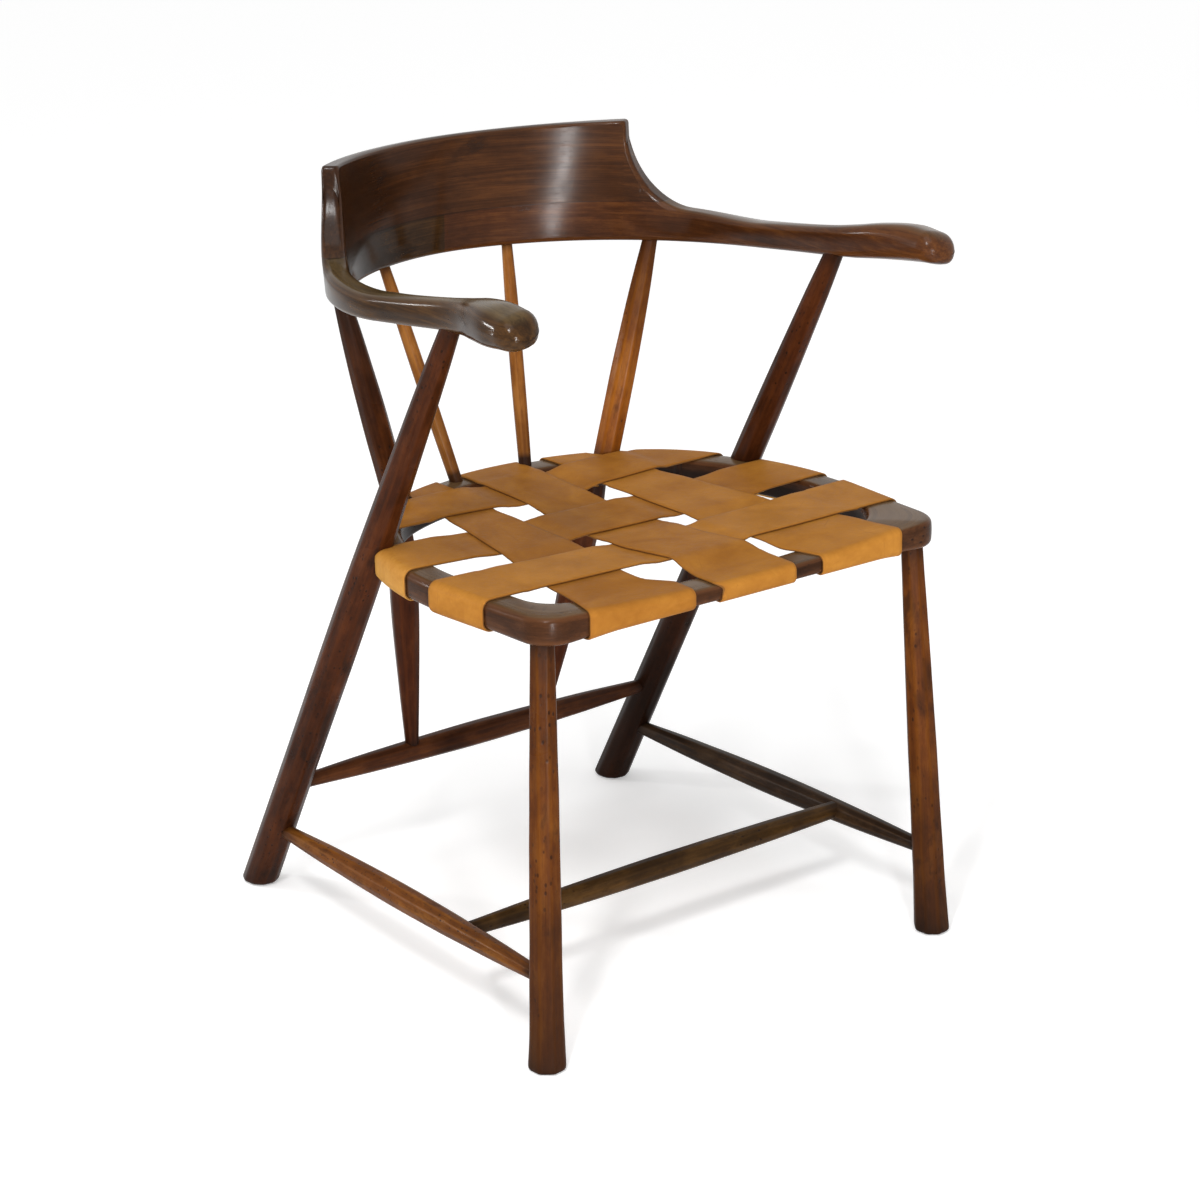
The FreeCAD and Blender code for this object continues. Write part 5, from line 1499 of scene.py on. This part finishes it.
FRONT_LEG_GRIME = ((0.0, 0.9), (0.06, 0.7), (0.25, 0.5), (0.5, 0.2), (0.85, 0.1), (0.95, 0.35), (1.0, 0.9))
REAR_LEG_GRIME = {-1: ((0.0, 0.45), (0.1, 0.2), (0.6, 0.05), (0.97, 0.25), (1.0, 0.8)),
                  1: ((0.0, 0.85), (0.35, 0.7), (0.6, 0.3), (0.97, 0.25), (1.0, 0.8))}
SIDE_STRETCHER_GRIME = ((0.0, 0.75), (0.03, 0.15), (0.85, 0.05), (0.96, 0.35), (1.0, 0.85))
STRUT_GRIME = ((0.0, 0.8), (0.04, 0.3), (0.3, 0.1), (0.9, 0.2), (1.0, 0.8))
POST_GRIME = ((0.0, 0.6), (0.06, 0.1), (0.45, 0.05), (0.68, 0.45), (0.85, 0.7), (1.0, 0.95))
SPINDLE_GRIME = ((0.0, 1.0), (0.035, 0.95), (0.05, 0.2), (0.3, 0.0), (0.9, 0.1), (0.97, 0.5), (1.0, 0.95))
CROSS_GRIME = ((0.0, 0.7), (0.03, 0.05), (0.5, 0.2), (0.97, 0.05), (1.0, 0.7))
REAR_STRETCHER_GRIME = ((0.0, 0.8), (0.03, 0.2), (0.5, 0.1), (0.97, 0.3), (1.0, 0.8))

# The chair

for word, side in SIDES.items():
    right = side < 0
    stick("front_leg_" + word, front_leg_line(side), FRONT_LEGS[side],
          woods["front_leg_wood" if right else "left_front_leg_wood"], FRONT_LEG_GRIME,
          seed=2.0 + side, depth=0.05, turn=0.25, footed=True)
    stick("rear_leg_" + word, rear_leg_line(side), REAR_LEGS[side], woods["long_leg_wood"],
          REAR_LEG_GRIME[side], seed=5.0 + side, depth=0.03, flats=10, turn=0.1, footed=True)
    stick("side_stretcher_" + word, side_stretcher_line(side), STRETCHER,
          woods["orange_stretcher_wood" if right else "grey_stretcher_wood"],
          SIDE_STRETCHER_GRIME, seed=8.0 + side, depth=0.03, flats=10)
    stick("lower_strut_" + word, strut_line(side), STRUT, woods["strut_wood"], STRUT_GRIME,
          seed=11.0 + side, depth=0.04)
    stick("back_post_" + word, back_stick_line(side, *POST_PLACE), POST,
          woods["dark_post_wood" if right else "post_wood"], POST_GRIME, seed=14.0 + side,
          depth=0.05, turn=0.3)
    stick("spindle_" + word, back_stick_line(side, *SPINDLE_PLACES[side]), SPINDLE, woods["spindle_wood"],
          SPINDLE_GRIME, seed=17.0 + side, depth=0.03, sides=48)
stick("cross_stretcher", cross_stretcher_line(), CROSS, woods["olive_stretcher_wood"],
      CROSS_GRIME, seed=21.0, depth=0.03, flats=10)
stick("rear_stretcher", rear_stretcher_line(), STRETCHER, woods["rear_stretcher_wood"],
      REAR_STRETCHER_GRIME, seed=24.0, depth=0.03, flats=10)

bow_pieces(arm_right=woods["right_arm_walnut"], arm_left=woods["left_arm_walnut"],
           crest=woods["crest_walnut"])

rail_wood = woods["rail_wood"]
rail("front_rail", [(-1, front_stations(-1)[:0:-1]), (1, front_stations(1))], rail_wood, 3.0)
for word, side in SIDES.items():
    rail("side_rail_" + word, [(side, side_stations())], rail_wood, 7.0 + side)
back_half = back_stations()
rail("back_rail", [(-1, back_half), (1, back_half[-2::-1])], rail_wood, 12.0)

for number, name in enumerate(STRAPS):
    strap(name, leather, number + 1.5)
tacks(steel)

for name in ("rail_dowels", "leg_pegs"):
    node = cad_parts[name]
    node.data.materials.clear()
    node.data.materials.append(woods["peg_wood"])

# Floor, light and camera; sizes from here on are metres.

FLOOR_SIZE = 30.0
FLOOR_DROP = 0.0005
FLOOR_GLOW = 0.3
ROOM_LIGHT = 0.48
WHITE = (1, 1, 1, 1)

scene = bpy.context.scene
floor_mesh = bpy.data.meshes.new("floor_mesh")
floor_form = bmesh.new()
bmesh.ops.create_grid(floor_form, x_segments=4, y_segments=4, size=FLOOR_SIZE / 2)
floor_form.to_mesh(floor_mesh)
floor_form.free()
floor = bpy.data.objects.new("floor", floor_mesh)
scene.collection.objects.link(floor)
floor.location = (0, 0, -FLOOR_DROP)
floor_material, floor_nodes, floor_shader = new_material("pale_floor")
to_camera = floor_nodes.add("LightPath", {})["Is Camera Ray"]
floor_nodes.put(floor_shader, {"Base Color": (0.93, 0.93, 0.93, 1), "Roughness": 0.9,
                               "Specular IOR Level": 0.0, "Emission Color": WHITE,
                               "Emission Strength": floor_nodes.times(to_camera, FLOOR_GLOW)})
floor_mesh.materials.append(floor_material)

world = bpy.data.worlds.new("studio")
scene.world = world
world.use_nodes = True
world_nodes = Nodes(world.node_tree)
path = world_nodes.add("LightPath", {})
seen = world_nodes.reckoned("MAXIMUM", path["Is Camera Ray"], path["Is Glossy Ray"])
seen = world_nodes.reckoned("MAXIMUM", seen, path["Is Transmission Ray"])
world_nodes.put(world.node_tree.nodes["Background"],
                {"Color": WHITE, "Strength": world_nodes.ranged(seen, 0.0, 1.0, ROOM_LIGHT, 1.0)})


def lamp(name, kind, energy, place, aim, size, length=None):
    """A sun of an angular size, or a panel with a width and a length, turned to its aim."""
    light = bpy.data.lights.new(name, kind)
    light.energy = energy
    if kind == "SUN":
        light.angle = size
    else:
        light.shape = "RECTANGLE"
        light.size = size
        light.size_y = length
    holder = bpy.data.objects.new(name, light)
    holder.location = place
    holder.rotation_mode = "QUATERNION"
    holder.rotation_quaternion = (Vector(aim) - Vector(place)).to_track_quat("-Z", "Y")
    holder.visible_camera = False
    scene.collection.objects.link(holder)


lamp("soft_key", "SUN", 0.84, (-1.2, -1.0, 4.0), (0, 0, 0.4), 0.7)
lamp("strip", "AREA", 42.0, (-1.06, -2.12, 0.4), (0.1, 0.19, 0.66), 0.16, 1.2)
lamp("end_box", "AREA", 22.0, (-1.36, -1.16, 2.04), (-0.17, 0.12, 0.65), 0.18, 0.4)
lamp("knob_box", "AREA", 13.0, (-1.7, 1.8, 1.0), (-0.23, -0.2, 0.66), 0.16, 0.24)

camera_data = bpy.data.cameras.new("camera")
camera_data.lens = 98.02
camera_data.sensor_width = 36.0
camera_data.clip_end = 60.0
camera = bpy.data.objects.new("camera", camera_data)
camera_right = Vector((0.7925, -0.6098, 0.0))
camera_up = Vector((0.208, 0.2705, 0.9399))
camera_back = Vector((-0.57322, -0.74493, 0.34131))
camera_place = Matrix.Translation((-1.74897, -2.29543, 1.36270))
camera.matrix_world = camera_place @ Matrix((camera_right, camera_up, camera_back)).transposed().to_4x4()
scene.collection.objects.link(camera)
scene.camera = camera
scene.view_settings.view_transform = "Standard"
